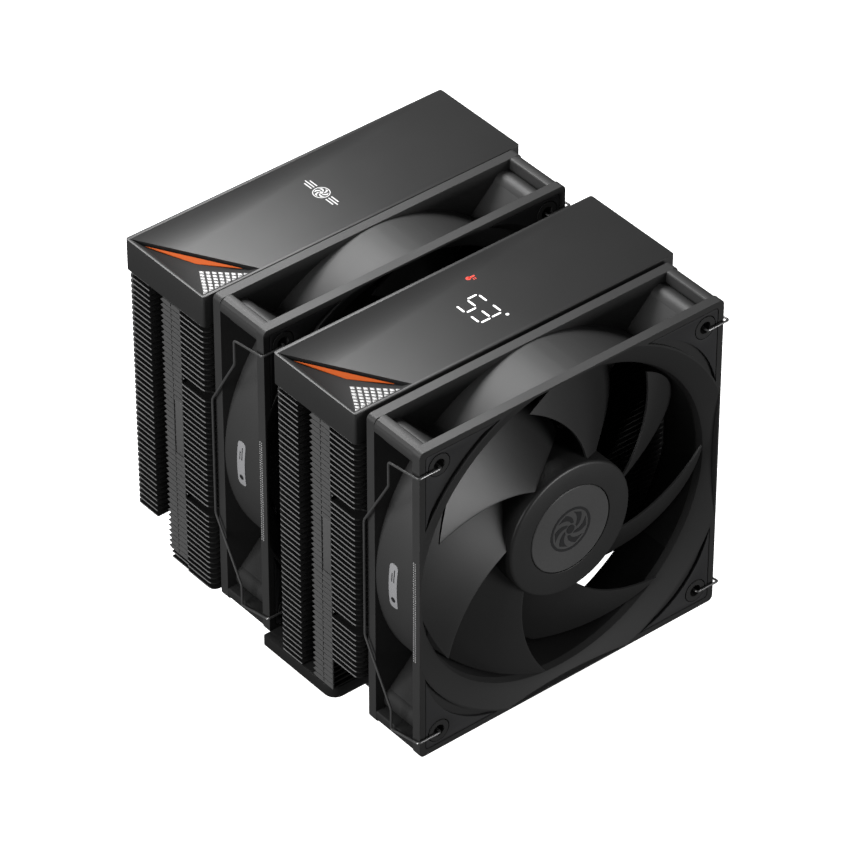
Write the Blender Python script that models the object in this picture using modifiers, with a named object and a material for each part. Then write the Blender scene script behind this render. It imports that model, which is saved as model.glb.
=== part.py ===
"""Dual-tower CPU cooler with two 120 mm fans, built as separate solids. Units are metres, +Z up.

The origin is the centre of the cold plate's contact face, which sits on the processor.
+Z points up along the towers, +Y is the way the air flows and +X is across the fins.
Each fan is built in its own frame: the centre of its front face is (0, 0, 0) and +Y points
to its back. Each tower is built in its own frame too: its middle is y = 0 and the fan side is -Y.
"""

import math

import bmesh
import bpy
from mathutils import Matrix, Vector

MM = 0.001
GAP = 0.3 * MM                      # clearance between pieces that touch on the real object

# Whole assembly
TOWER_PITCH = 74.1 * MM             # centre to centre of the two towers
TOWER_DEPTH = 39.5 * MM
COVER_WIDTH = 126.2 * MM
COVER_HEIGHT = 11.6 * MM
TOTAL_HEIGHT = 158.2 * MM           # contact face to the top of the covers
COVER_BOTTOM = TOTAL_HEIGHT - COVER_HEIGHT

# Fans
FAN_SIZE = 120 * MM
FAN_DEPTH = 25 * MM
HALF_FAN = FAN_SIZE / 2
HOLE_OFFSET = 52.5 * MM             # fan screw holes from the fan's centre, 105 mm apart
HOLE_RADIUS = 2.15 * MM
FANS = {                            # name: (front face y, centre z)
    "front_fan": (-83.4 * MM, 98.0 * MM),
    "middle_fan": (-8.6 * MM, 98.8 * MM),
}
FLANGE = 3.5 * MM
DUCT_OUTER = 59.6 * MM
DUCT_INNER = 55.7 * MM
MOUTH_RADIUS = 58.8 * MM            # the duct's inner radius at the front face
PAD_ARC = 67.5 * MM                 # radius of the pads' curved side, about the fan's centre
PAD_THICKNESS = 1.2 * MM
PAD_RIM = 2.2 * MM                  # frame left outside the pads
POST = 4.8 * MM                     # square bar at each corner between the flanges
BOSS_RADIUS = 4.2 * MM
WEB_HALF = 4.0 * MM                 # half the width of the web from the duct to a screw boss
HUB_RADIUS = 24 * MM
HUB_WALL = 2 * MM
HUB_FRONT = 0.5 * MM
HUB_BACK = 20.5 * MM
TIP_RADIUS = 54.6 * MM
BLADES = 7
BLADE_THICKNESS = 1.5 * MM
MOTOR_PLATE_FRONT = 22.2 * MM
SHAFT_RADIUS = 1.5 * MM
BEARING_BORE = 1.8 * MM
BEARING_RADIUS = 3.2 * MM
STRUTS = 4
DUCT_SIDES = 36
HUB_SIDES = 24

# Towers
FIN_HALF_WIDTH = 62.5 * MM
FIN_THICKNESS = 1.0 * MM            # one solid fin holds the metal of three real ones
FIN_GAPS = 17                       # spaces between the lowest fin and the top one
FIN_TOP = COVER_BOTTOM - GAP
PIPE_XS = [x * MM for x in (-45, -27, -9, 9, 27, 45)]
PIPE_RADIUS = 3 * MM
PIPE_BORE = 3.5 * MM
PIPE_TOP = FIN_TOP - 0.5 * MM
COLLAR_WALL = 8.0 * MM              # depth of the wall that the pipe collars make
WALL_OVERLAP = 0.05 * MM            # walls run this far past the end fins, so no faces coincide
NEAR_SIDE = (-19.75 * MM, -6.6 * MM)   # fan side third of a fin
WALL_SIDE = (-6.6 * MM, 2.3 * MM)      # middle third, closed by the folded wall
FAR_SIDE = (8.7 * MM, 19.75 * MM)      # last third; a recess lies between it and the wall
RECESS_X = 54 * MM
OUTER_BOTTOM = 51.3 * MM            # nothing of the third on the cooler's outer side is below it
INNER_BOTTOM = 40.7 * MM            # lowest fin of the other two thirds

PLATE_THICKNESS = 4.4 * MM          # the plate under the front tower

# Base
COLD_PLATE_SIZE = (48 * MM, 40 * MM)
COLD_PLATE_TOP = 8 * MM
BLOCK_SIZE = (48 * MM, 38 * MM)
BLOCK_TOP = 17 * MM
PIPE_LEVEL = 8 * MM
PIPE_BASE_PITCH = 7 * MM
BAR_BOTTOM = BLOCK_TOP + GAP
BAR_THICKNESS = 3 * MM
BAR_TOP = BAR_BOTTOM + BAR_THICKNESS
BAR_LENGTH = 93 * MM
BAR_WIDTH = 14 * MM
SCREW_X = 41.5 * MM                 # sprung screws from the middle, 83 mm apart
BAR_SCREW_X = 15 * MM
SPRING_LENGTH = 10 * MM
SPRING_TURNS = 4
SPRING_RADIUS = 3.5 * MM
SPRING_WIRE = 0.45 * MM
SCREW_TIP = 13.4 * MM               # just below the retaining clip; the standoffs reach up to it

# Clips
CLIP_WIRE = 0.65 * MM               # wire radius
CLIP_X = 61.3 * MM

BLACK = (0.012, 0.012, 0.013)


# ---------------------------------------------------------------- building blocks

def clear_scene():
    for obj in list(bpy.data.objects):
        bpy.data.objects.remove(obj)


def make_collection(name):
    collection = bpy.data.collections.new(name)
    bpy.context.scene.collection.children.link(collection)
    return collection


def make_material(name, colour, roughness, metallic=0.0):
    material = bpy.data.materials.new(name)
    material.use_nodes = True
    shader = material.node_tree.nodes["Principled BSDF"]
    shader.inputs["Base Color"].default_value = (*colour, 1)
    shader.inputs["Roughness"].default_value = roughness
    shader.inputs["Metallic"].default_value = metallic
    return material


def add_object(name, mesh, collection):
    obj = bpy.data.objects.new(name, mesh)
    collection.objects.link(obj)
    return obj


def mesh_from(name, bm, collection):
    mesh = bpy.data.meshes.new(name)
    bm.to_mesh(mesh)
    bm.free()
    return add_object(name, mesh, collection)


def box(name, low, high, collection):
    low, high = Vector(low), Vector(high)
    bm = bmesh.new()
    bmesh.ops.create_cube(bm, size=1)
    bmesh.ops.scale(bm, vec=high - low, verts=bm.verts)
    bmesh.ops.translate(bm, vec=(low + high) / 2, verts=bm.verts)
    return mesh_from(name, bm, collection)


def rod(name, radius, start, end, sides, collection):
    """A closed cylinder between two points."""
    start, end = Vector(start), Vector(end)
    turn = (end - start).to_track_quat("Z", "Y").to_matrix().to_4x4()
    bm = bmesh.new()
    bmesh.ops.create_cone(
        bm, cap_ends=True, segments=sides, radius1=radius, radius2=radius,
        depth=(end - start).length, matrix=Matrix.Translation((start + end) / 2) @ turn)
    return mesh_from(name, bm, collection)


def hull(name, points, collection):
    """The smallest convex solid round a few corner points."""
    bm = bmesh.new()
    for point in points:
        bm.verts.new(point)
    found = bmesh.ops.convex_hull(bm, input=bm.verts)
    inside = [v for v in found["geom_interior"] if isinstance(v, bmesh.types.BMVert)]
    bmesh.ops.delete(bm, geom=inside, context="VERTS")
    bmesh.ops.recalc_face_normals(bm, faces=bm.faces)
    return mesh_from(name, bm, collection)


def curve_to_mesh(curve_object, collection):
    """Turns a curve object into a closed mesh object and removes the curve."""
    name = curve_object.name
    bpy.context.view_layer.update()
    evaluated = curve_object.evaluated_get(bpy.context.evaluated_depsgraph_get())
    mesh = bpy.data.meshes.new_from_object(evaluated)
    place = curve_object.matrix_world.copy()
    bpy.data.objects.remove(curve_object)
    bm = bmesh.new()
    bm.from_mesh(mesh)
    bmesh.ops.remove_doubles(bm, verts=bm.verts, dist=0.00001)
    bm.to_mesh(mesh)
    bm.free()
    obj = add_object(name, mesh, collection)
    obj.matrix_world = place
    return obj


def plate(name, outlines, low, high, collection):
    """Flat outlines of (a, b) points, filled and given thickness along Z from low to high.

    An outline inside another one is a hole.
    """
    curve = bpy.data.curves.new(name, "CURVE")
    curve.dimensions = "2D"
    curve.fill_mode = "BOTH"
    curve.extrude = (high - low) / 2
    for outline in outlines:
        spline = curve.splines.new("POLY")
        spline.points.add(len(outline) - 1)
        for point, (a, b) in zip(spline.points, outline):
            point.co = (a, b, 0, 1)
        spline.use_cyclic_u = True
    obj = add_object(name, curve, collection)
    obj.location.z = (low + high) / 2
    solid = curve_to_mesh(obj, collection)
    solid.data.transform(solid.matrix_world)
    solid.matrix_world = Matrix.Identity(4)
    return solid


def face_plate(name, outlines, low, high, collection):
    """Like plate, but the outlines are (x, z) points and the thickness runs along Y."""
    flipped = [[(x, -z) for x, z in outline] for outline in outlines]
    solid = plate(name, flipped, low, high, collection)
    solid.data.transform(Matrix.Rotation(math.radians(-90), 4, "X"))
    return solid


def wire(name, points, radius, resolution, collection):
    """A tube along straight steps between the points, as a closed mesh."""
    curve = bpy.data.curves.new(name, "CURVE")
    curve.dimensions = "3D"
    curve.bevel_depth = radius
    curve.bevel_resolution = resolution
    curve.use_fill_caps = True
    spline = curve.splines.new("POLY")
    spline.points.add(len(points) - 1)
    for point, place in zip(spline.points, points):
        point.co = (*place, 1)
    return curve_to_mesh(add_object(name, curve, collection), collection)


def turned(name, profile, steps, collection, axis="Z"):
    """A closed profile of (radius, height) points, turned right round an axis."""
    bm = bmesh.new()
    corners = [bm.verts.new((radius, 0, height)) for radius, height in profile]
    for a, b in zip(corners, corners[1:] + corners[:1]):
        if a.co.x > 0 or b.co.x > 0:
            bm.edges.new((a, b))
    obj = mesh_from(name, bm, collection)
    screw = obj.modifiers.new("turn", "SCREW")
    screw.steps = screw.render_steps = steps
    screw.use_merge_vertices = True
    screw.merge_threshold = 0.00001
    screw.use_normal_calculate = True
    apply_modifiers(obj)
    bm = bmesh.new()
    bm.from_mesh(obj.data)
    bmesh.ops.recalc_face_normals(bm, faces=bm.faces)
    bm.to_mesh(obj.data)
    bm.free()
    if axis == "Y":
        obj.data.transform(Matrix.Rotation(math.radians(-90), 4, "X"))
    return obj


def apply_modifiers(obj):
    bpy.context.view_layer.update()
    evaluated = obj.evaluated_get(bpy.context.evaluated_depsgraph_get())
    mesh = bpy.data.meshes.new_from_object(evaluated)
    obj.modifiers.clear()
    obj.data = mesh


def boolean(obj, others, operation):
    """Joins or cuts with every object in others; they become hidden helpers."""
    group = bpy.data.collections.new(obj.name + "_" + operation.lower())
    helpers.children.link(group)
    for other in others:
        for collection in list(other.users_collection):
            collection.objects.unlink(other)
        group.objects.link(other)
        other.hide_render = True
        other.display_type = "WIRE"
    modifier = obj.modifiers.new(operation.lower(), "BOOLEAN")
    modifier.operand_type = "COLLECTION"
    modifier.collection = group
    modifier.operation = operation
    modifier.solver = "EXACT"
    apply_modifiers(obj)
    for other in others:
        bpy.data.objects.remove(other)
    bpy.data.collections.remove(group)
    return obj


def finish(obj, material, smooth=False):
    obj.data.materials.clear()
    obj.data.materials.append(material)
    if smooth:
        obj.data.shade_smooth()
        obj.data.set_sharp_from_angle(angle=math.radians(35))
    return obj


# ---------------------------------------------------------------- outlines and paths

def circle(radius, sides, centre=(0, 0)):
    turns = [2 * math.pi * i / sides for i in range(sides)]
    return [(centre[0] + radius * math.cos(t), centre[1] + radius * math.sin(t)) for t in turns]


def rounded_rectangle(low, high, radius, steps=3):
    """Corner points low and high, with every corner rounded in a few steps."""
    corners = [(high[0], high[1], 0), (low[0], high[1], 90), (low[0], low[1], 180),
               (high[0], low[1], 270)]
    outline = []
    for x, y, start in corners:
        centre_x = x - math.copysign(radius, x - (low[0] + high[0]) / 2)
        centre_y = y - math.copysign(radius, y - (low[1] + high[1]) / 2)
        for i in range(steps + 1):
            turn = math.radians(start + 90 * i / steps)
            outline.append((centre_x + radius * math.cos(turn),
                            centre_y + radius * math.sin(turn)))
    return outline


def rounded_path(points, radius, steps=3):
    """The same path with each inner corner replaced by a short arc of points."""
    points = [Vector(p) for p in points]
    path = [points[0]]
    for before, corner, after in zip(points, points[1:], points[2:]):
        back = (before - corner).normalized()
        ahead = (after - corner).normalized()
        reach = min(radius, (before - corner).length / 2, (after - corner).length / 2)
        start, end = corner + back * reach, corner + ahead * reach
        for i in range(steps + 1):
            t = i / steps
            path.append(start * (1 - t) ** 2 + corner * 2 * t * (1 - t) + end * t ** 2)
    return path + [points[-1]]


def hermite(start, start_pull, end, end_pull, steps):
    """Points on a cubic curve, without its first point."""
    points = []
    for i in range(1, steps + 1):
        t = i / steps
        points.append(start * (2 * t ** 3 - 3 * t ** 2 + 1) + start_pull * (t ** 3 - 2 * t ** 2 + t)
                      + end * (3 * t ** 2 - 2 * t ** 3) + end_pull * (t ** 3 - t ** 2))
    return points


# ---------------------------------------------------------------- fans

def pad_outline(grow=0.0):
    """A corner pad in the +X +Z corner: two straight sides and an arc about the fan's centre."""
    side = HALF_FAN - PAD_RIM + grow
    arc = PAD_ARC - grow
    first = math.acos(side / arc)
    last = math.pi / 2 - first
    steps = 6
    turns = [last + (first - last) * i / steps for i in range(steps + 1)]
    return [(side, side)] + [(arc * math.cos(t), arc * math.sin(t)) for t in turns]


def build_pads(fan, parent):
    """Four pads that fill the pockets in the front flange's corners."""
    hole = circle(2.8 * MM, 8, (HOLE_OFFSET, HOLE_OFFSET))
    pad = face_plate(fan + "_pad_1", [pad_outline(-GAP), hole], 0, PAD_THICKNESS - GAP, model)
    finish(pad, RUBBER)
    pads = [pad] + [add_object(f"{fan}_pad_{i}", pad.data, model) for i in (2, 3, 4)]
    for i, each in enumerate(pads):
        each.rotation_euler.y = math.radians(90 * i)
        each.parent = parent


def build_frame(fan, parent):
    """Two square flanges, the duct, corner bars, webbed screw bosses, struts and motor base."""
    holes = [circle(HOLE_RADIUS, 8, (sx * HOLE_OFFSET, sz * HOLE_OFFSET))
             for sx in (-1, 1) for sz in (-1, 1)]
    low, high = (-HALF_FAN, -HALF_FAN), (HALF_FAN, HALF_FAN)
    outline = rounded_rectangle(low, high, 3 * MM, 2)
    opening = circle(DUCT_OUTER - 0.4 * MM, DUCT_SIDES)
    frame = face_plate(fan + "_frame", [outline, opening] + holes, 0, FLANGE, model)
    back = face_plate("back", [outline, opening] + holes, FAN_DEPTH - FLANGE, FAN_DEPTH, helpers)
    duct = turned("duct", [(MOUTH_RADIUS, 0.02 * MM), (DUCT_INNER, 6 * MM), (DUCT_INNER, 18 * MM),
                           (DUCT_INNER + 1.2 * MM, FAN_DEPTH - 0.02 * MM),
                           (DUCT_OUTER, FAN_DEPTH - 0.02 * MM), (DUCT_OUTER, 0.02 * MM)],
                  DUCT_SIDES, helpers, "Y")
    added = [back, duct]
    ends = (FLANGE / 2, FAN_DEPTH - FLANGE / 2)
    for sx in (-1, 1):
        for sz in (-1, 1):
            near, far = HALF_FAN - POST, HALF_FAN - 0.05 * MM
            xs = sorted((sx * near, sx * far))
            zs = sorted((sz * near, sz * far))
            added.append(box("bar", (xs[0], ends[0], zs[0]), (xs[1], ends[1], zs[1]), helpers))
            x, z = sx * HOLE_OFFSET, sz * HOLE_OFFSET
            added.append(rod("boss", BOSS_RADIUS, (x, ends[0], z), (x, ends[1], z), 8, helpers))
    added.append(turned("motor_base", [
        (BEARING_RADIUS + GAP, 9 * MM), (BEARING_RADIUS + GAP, 22.9 * MM), (0, 22.9 * MM),
        (0, FAN_DEPTH), (22 * MM, FAN_DEPTH), (22 * MM, MOTOR_PLATE_FRONT),
        (5 * MM, MOTOR_PLATE_FRONT), (5 * MM, 9 * MM)], 20, helpers, "Y"))
    for i in range(4):
        web = box("web", (DUCT_INNER + 2.5 * MM, ends[0] + 0.2 * MM, -WEB_HALF),
                  (HOLE_OFFSET * math.sqrt(2), ends[1] - 0.2 * MM, WEB_HALF), helpers)
        web.data.transform(Matrix.Rotation(math.radians(45 + 90 * i), 4, "Y"))
        added.append(web)
    for i in range(STRUTS):
        strut = box("strut", (21 * MM, MOTOR_PLATE_FRONT + 0.2 * MM, -2.2 * MM),
                    (58 * MM, FAN_DEPTH - 0.1 * MM, 2.2 * MM), helpers)
        strut.data.transform(Matrix.Rotation(math.radians(45 + 360 * i / STRUTS), 4, "Y"))
        added.append(strut)
    boolean(frame, added, "UNION")
    cuts = []
    for i in range(4):
        pocket = face_plate("pocket", [pad_outline()], -MM, PAD_THICKNESS, helpers)
        pocket.data.transform(Matrix.Rotation(math.radians(90 * i), 4, "Y"))
        cuts.append(pocket)
    for sx in (-1, 1):
        for sz in (-1, 1):
            x, z = sx * HOLE_OFFSET, sz * HOLE_OFFSET
            cuts.append(rod("hole", HOLE_RADIUS, (x, -MM, z), (x, FAN_DEPTH + MM, z), 8, helpers))
    boolean(frame, cuts, "DIFFERENCE")
    finish(frame, FAN_PLASTIC, smooth=True)
    frame.parent = parent


def blade_point(across, along):
    """A point on a blade's middle surface: across 0 hub to 1 tip, along 0 leading to 1 trailing.

    Seen from the front the impeller turns anticlockwise, with its leading edges forward.
    """
    radius = (HUB_RADIUS - 1.2 * MM) * (1 - across) + TIP_RADIUS * across
    leading = math.radians(-33.5 + 38 * across ** 0.85)
    chord = math.radians(56 - 12 * across)
    turn = leading - chord * along
    front = 2.6 * MM - 0.6 * MM * across
    rise = (16.5 - 1.5 * across) * MM
    depth = front + rise * (0.8 * along + 0.2 * along ** 2)
    return Vector((radius * math.cos(turn), depth, radius * math.sin(turn)))


def build_impeller(fan, parent):
    """A hub cup with seven wide, forward-swept blades."""
    inner = HUB_RADIUS - HUB_WALL
    cup = turned(fan + "_impeller", [
        (0, HUB_FRONT), (0, HUB_FRONT + 2.4 * MM), (inner, HUB_FRONT + 2.4 * MM), (inner, HUB_BACK),
        (HUB_RADIUS, HUB_BACK), (HUB_RADIUS, HUB_FRONT + MM), (HUB_RADIUS - MM, HUB_FRONT)],
        HUB_SIDES, model, "Y")
    across_steps, along_steps = 4, 5
    bm = bmesh.new()
    bmesh.ops.create_grid(bm, x_segments=across_steps, y_segments=along_steps, size=0.5)
    for vert in bm.verts:
        vert.co = blade_point(vert.co.x + 0.5, vert.co.y + 0.5)
    sheet = mesh_from("blade", bm, helpers)
    solidify = sheet.modifiers.new("thickness", "SOLIDIFY")
    solidify.thickness = BLADE_THICKNESS
    solidify.offset = 0
    apply_modifiers(sheet)
    bm = bmesh.new()
    bm.from_mesh(sheet.data)
    bmesh.ops.recalc_face_normals(bm, faces=bm.faces)
    bm.to_mesh(sheet.data)
    bm.free()
    blades = [sheet]
    for i in range(1, BLADES):
        blade = add_object("blade", sheet.data.copy(), helpers)
        blade.data.transform(Matrix.Rotation(2 * math.pi * i / BLADES, 4, "Y"))
        blades.append(blade)
    boolean(cup, blades, "UNION")
    recess = rod("badge_recess", 15.9 * MM, (0, -MM, 0), (0, HUB_FRONT + 0.8 * MM, 0), HUB_SIDES, helpers)
    boolean(cup, [recess], "DIFFERENCE")
    finish(cup, FAN_PLASTIC, smooth=True)
    cup.parent = parent


def build_motor(fan, parent):
    """What the hub hides: shaft, bearing, stator, magnet ring and board, and the badge outside."""
    pieces = []
    badge = rod(fan + "_hub_badge", 15.5 * MM, (0, HUB_FRONT, 0), (0, HUB_FRONT + 0.5 * MM, 0),
                HUB_SIDES, model)
    pieces.append(finish(badge, BADGE))
    shaft = rod(fan + "_shaft", SHAFT_RADIUS, (0, HUB_FRONT + 2.4 * MM + GAP, 0),
                (0, 22.4 * MM, 0), 12, model)
    pieces.append(finish(shaft, STEEL, smooth=True))
    bearing = turned(fan + "_bearing", [
        (BEARING_BORE, 8.5 * MM), (BEARING_BORE, 22.3 * MM), (BEARING_RADIUS, 22.3 * MM),
        (BEARING_RADIUS, 8.5 * MM)], 12, model, "Y")
    pieces.append(finish(bearing, BRASS, smooth=True))
    magnet = turned(fan + "_magnet_ring", [
        (19.2 * MM, 5 * MM), (19.2 * MM, 19 * MM), (21.6 * MM, 19 * MM), (21.6 * MM, 5 * MM)],
        20, model, "Y")
    pieces.append(finish(magnet, MAGNET, smooth=True))
    poles, steps = 4, 3
    outline = []
    for i in range(poles):
        middle = 2 * math.pi * i / poles
        spread = [math.radians(-34 + 68 * k / steps) for k in range(steps + 1)]
        outline += [(18 * MM * math.cos(middle + s), 18 * MM * math.sin(middle + s))
                    for s in spread]
        neck = middle + math.pi / poles
        outline.append((9 * MM * math.cos(neck), 9 * MM * math.sin(neck)))
    stator = face_plate(fan + "_stator", [outline, circle(5.4 * MM, 12)], 9 * MM, 17 * MM, model)
    pieces.append(finish(stator, STATOR))
    board = face_plate(fan + "_motor_board", [circle(18 * MM, 20), circle(5.4 * MM, 12)],
                       19.4 * MM, 20.6 * MM, model)
    pieces.append(finish(board, BOARD))
    for piece in pieces:
        piece.parent = parent


def build_fan(fan, front, centre_z):
    parent = bpy.data.objects.new(fan, None)
    parent.location = (0, front, centre_z)
    model.objects.link(parent)
    build_frame(fan, parent)
    build_impeller(fan, parent)
    build_motor(fan, parent)
    build_pads(fan, parent)
    build_clip(fan + "_clip_left", -1, parent)
    build_clip(fan + "_clip_right", 1, parent)


def build_clip(name, side, parent):
    """A bent wire from the two screw holes on one side to the notches in the fins behind.

    Its object's origin is on the upright line through both holes, which it swings about.
    """
    hook_y, face_y = 4 * MM, -CLIP_WIRE - GAP
    upper, lower = HOLE_OFFSET - 0.6 * MM, -HOLE_OFFSET
    x = side * (CLIP_X - HOLE_OFFSET)
    tower_y = 25 * MM
    route = [(0, hook_y, upper), (0, face_y, upper), (x, face_y, upper),
             (x, 13.1 * MM, upper - 2 * MM), (x, 13.1 * MM, upper - 11.2 * MM),
             (x, tower_y, 20 * MM), (x, tower_y, -25.6 * MM),
             (x, 12.4 * MM, lower + 5 * MM), (x, 12.4 * MM, lower - 3 * MM),
             (x, face_y, lower), (0, face_y, lower), (0, hook_y, lower)]
    clip = wire(name, rounded_path(route, 1.6 * MM, 1), CLIP_WIRE, 1, model)
    finish(clip, CLIP_STEEL, smooth=True)
    clip.location.x = side * HOLE_OFFSET
    clip.parent = parent


# ---------------------------------------------------------------- towers

def fin_outline(near, far):
    """A fin's outline between two depths; the recess and rounded fan-side corners are in it."""
    w, corner = FIN_HALF_WIDTH, 2 * MM
    half = []
    if near == NEAR_SIDE[0]:
        half += [(w - corner, near), (w, near + corner)]
    else:
        half += [(w, near)]
    half += [(w, WALL_SIDE[1])]
    if far > FAR_SIDE[0]:
        half += [(RECESS_X, WALL_SIDE[1]), (RECESS_X, FAR_SIDE[0]), (w, FAR_SIDE[0]), (w, far)]
    return half + [(-x, y) for x, y in reversed(half)]


def build_fin_stack(name, centre_y, outer_is_near):
    """Fins joined by the folded side walls and by the wall that the pipe collars make."""
    pitch = (FIN_TOP - FIN_THICKNESS - INNER_BOTTOM) / FIN_GAPS
    fins = []
    for i in range(FIN_GAPS + 1):
        low = INNER_BOTTOM + i * pitch
        near, far = NEAR_SIDE[0], FAR_SIDE[1]
        if low < OUTER_BOTTOM and outer_is_near:
            near = NEAR_SIDE[1]
        if low < OUTER_BOTTOM and not outer_is_near:
            far = WALL_SIDE[1]
        fins.append(plate("fin", [fin_outline(near, far)], low, low + FIN_THICKNESS, helpers))
    wall_x = (FIN_HALF_WIDTH - MM, FIN_HALF_WIDTH + 0.2 * MM)
    for side in (-1, 1):
        xs = sorted((side * wall_x[0], side * wall_x[1]))
        fins.append(box("wall", (xs[0], WALL_SIDE[0] + 0.2 * MM, INNER_BOTTOM - WALL_OVERLAP),
                        (xs[1], WALL_SIDE[1] - 0.2 * MM, FIN_TOP + WALL_OVERLAP), helpers))
    reach = PIPE_XS[-1] + 6 * MM
    stack = box(name, (-reach, -COLLAR_WALL / 2, INNER_BOTTOM - WALL_OVERLAP),
                (reach, COLLAR_WALL / 2, FIN_TOP + WALL_OVERLAP), model)
    boolean(stack, fins, "UNION")
    bores = [rod("bore", PIPE_BORE, (x, 0, 0), (x, 0, TOTAL_HEIGHT), 10, helpers)
             for x in PIPE_XS]
    boolean(stack, bores, "DIFFERENCE")
    stack.location.y = centre_y
    finish(stack, FINS)


def build_heat_pipe(index, tower_x):
    """One U-shaped pipe: down the rear tower, through the base along Y, up the front tower."""
    base_x = (index - 3.5) * PIPE_BASE_PITCH
    tower_y = TOWER_PITCH / 2
    half = []
    start = Vector((base_x, 20.5 * MM, PIPE_LEVEL))
    end = Vector((tower_x, tower_y, 41 * MM))
    half.append(start)
    half += hermite(start, Vector((0, 34 * MM, 0)), end, Vector((0, 0, 52 * MM)), 7)
    half.append(Vector((tower_x, tower_y, PIPE_TOP)))
    front = [Vector((p.x, -p.y, p.z)) for p in reversed(half)]
    pipe = wire(f"heat_pipe_{index}", front + half, PIPE_RADIUS, 2, model)
    finish(pipe, PIPE_METAL, smooth=True)


def build_bottom_plate():
    """A thin plate under the front tower, reaching back to the middle fan's front face."""
    top = INNER_BOTTOM - WALL_OVERLAP - GAP
    half, front, back = 62.6 * MM, -43.7 * MM, FANS["middle_fan"][0] - GAP
    rounded = rounded_rectangle((-half, front), (half, back), 4 * MM)
    outline = [(half, back), (-half, back)] + rounded[len(rounded) // 2:]
    holes = [circle(PIPE_BORE + 1.5 * MM, 8, (x, -TOWER_PITCH / 2 + 1.5 * MM)) for x in PIPE_XS]
    finish(plate("front_bottom_plate", [outline] + holes, top - PLATE_THICKNESS, top, model),
           COVER_SIDE)


# ---------------------------------------------------------------- top covers

def recess_corners(depth=3.4 * MM):
    """The recess in a cover's left end: back, front and right corners, and its deepest point."""
    top = TOTAL_HEIGHT
    back = Vector((-62.1 * MM, 18.7 * MM, top))
    front = Vector((-62.1 * MM, -18.8 * MM, top))
    right = Vector((-40.6 * MM, -18.8 * MM, top))
    deepest = Vector((-54.8 * MM, -7.6 * MM, top - depth))
    return back, front, right, deepest


def slab_on(name, corners, lift, thickness):
    """A thin solid lying on the flat through three corners, lifted off it by a gap."""
    a, b, c = corners
    normal = (b - a).cross(c - a).normalized()
    if normal.z < 0:
        normal = -normal
    points = [p + normal * lift for p in (a, b, c)]
    points += [p + normal * (lift + thickness) for p in (a, b, c)]
    return hull(name, points, model)


def shrink(corners, share):
    middle = (corners[0] + corners[1] + corners[2]) / 3
    return [middle + (p - middle) * share for p in corners]


def build_cover(name, centre_y):
    """A cap over one tower, open below, with a sunk triangle at its left end."""
    half = COVER_WIDTH / 2
    depth = TOWER_DEPTH / 2
    cover = box(name, (-half, -depth, COVER_BOTTOM), (half, depth, TOTAL_HEIGHT), model)
    bevel = cover.modifiers.new("edges", "BEVEL")
    bevel.width = 0.5 * MM
    bevel.segments = 1
    apply_modifiers(cover)
    wall = 1.5 * MM
    inside = [(half - wall, -depth + wall), (half - wall, depth - wall),
              (-half + 2.4 * MM, depth - wall), (-half + 24.5 * MM, -depth + wall)]
    cavity = plate("cavity", [inside], COVER_BOTTOM - MM, TOTAL_HEIGHT - 1.8 * MM, helpers)
    back, front, right, deepest = recess_corners()
    rise = Vector((0, 0, MM))
    sunk = hull("recess", [back, front, right, deepest, back + rise, front + rise, right + rise],
                helpers)
    boolean(cover, [cavity, sunk], "DIFFERENCE")
    cover.location.y = centre_y
    finish(cover, COVER_TOP)


def build_recess_pieces(tower, centre_y):
    """The textured insert on the front facet of the recess and the accent blade on the slanted one."""
    back, front, right, deepest = recess_corners()
    insert = slab_on(tower + "_textured_insert", shrink([front, right, deepest], 0.9),
                     GAP / 2, 0.35 * MM)
    insert.location.y = centre_y
    finish(insert, SILVER)
    middle = (back + right) / 2
    along = (back - right).normalized()
    inward = (deepest - middle) - along * (deepest - middle).dot(along)
    near_edge = middle + inward * 0.32 - along * 2 * MM
    tips = [back.lerp(right, 0.12) + inward * 0.09, back.lerp(right, 0.93) + inward * 0.07]
    wide = near_edge + inward * 0.42
    blade = slab_on(tower + "_accent_blade", [tips[0], tips[1], wide], GAP / 2, 0.5 * MM)
    blade.location.y = centre_y
    finish(blade, ORANGE)


def build_display():
    """The read-out's board and light guide, both in the front cover's hollow."""
    y = -TOWER_PITCH / 2
    top = TOTAL_HEIGHT - 1.8 * MM - GAP
    guide = box("display_light_guide", (-8 * MM, y - 13 * MM, top - 2 * MM),
                (12 * MM, y + 13 * MM, top), model)
    finish(guide, LENS)
    board_top = top - 2 * MM - GAP
    board = box("display_board", (-12 * MM, y - 15 * MM, board_top - 1.6 * MM),
                (16 * MM, y + 15 * MM, board_top), model)
    finish(board, BOARD)


# ---------------------------------------------------------------- base and mounting

def build_base():
    xs = [(i - 2.5) * PIPE_BASE_PITCH for i in range(6)]
    reach = 30 * MM

    def grooves():
        return [rod("groove", PIPE_RADIUS + GAP, (x, -reach, PIPE_LEVEL), (x, reach, PIPE_LEVEL),
                    12, helpers) for x in xs]

    half_x, half_y = COLD_PLATE_SIZE[0] / 2, COLD_PLATE_SIZE[1] / 2
    plate_block = box("cold_plate", (-half_x, -half_y, 0), (half_x, half_y, COLD_PLATE_TOP), model)
    boolean(plate_block, grooves(), "DIFFERENCE")
    finish(plate_block, COPPER)
    half_x, half_y = BLOCK_SIZE[0] / 2, BLOCK_SIZE[1] / 2
    block = box("base_block", (-half_x, -half_y, COLD_PLATE_TOP + GAP), (half_x, half_y, BLOCK_TOP),
                model)
    screw_holes = [rod("screw_hole", 1.85 * MM, (x, 0, 12.6 * MM), (x, 0, 20 * MM), 10, helpers)
                   for x in (-BAR_SCREW_X, BAR_SCREW_X)]
    boolean(block, grooves() + screw_holes, "DIFFERENCE")
    finish(block, ALUMINIUM)


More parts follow.
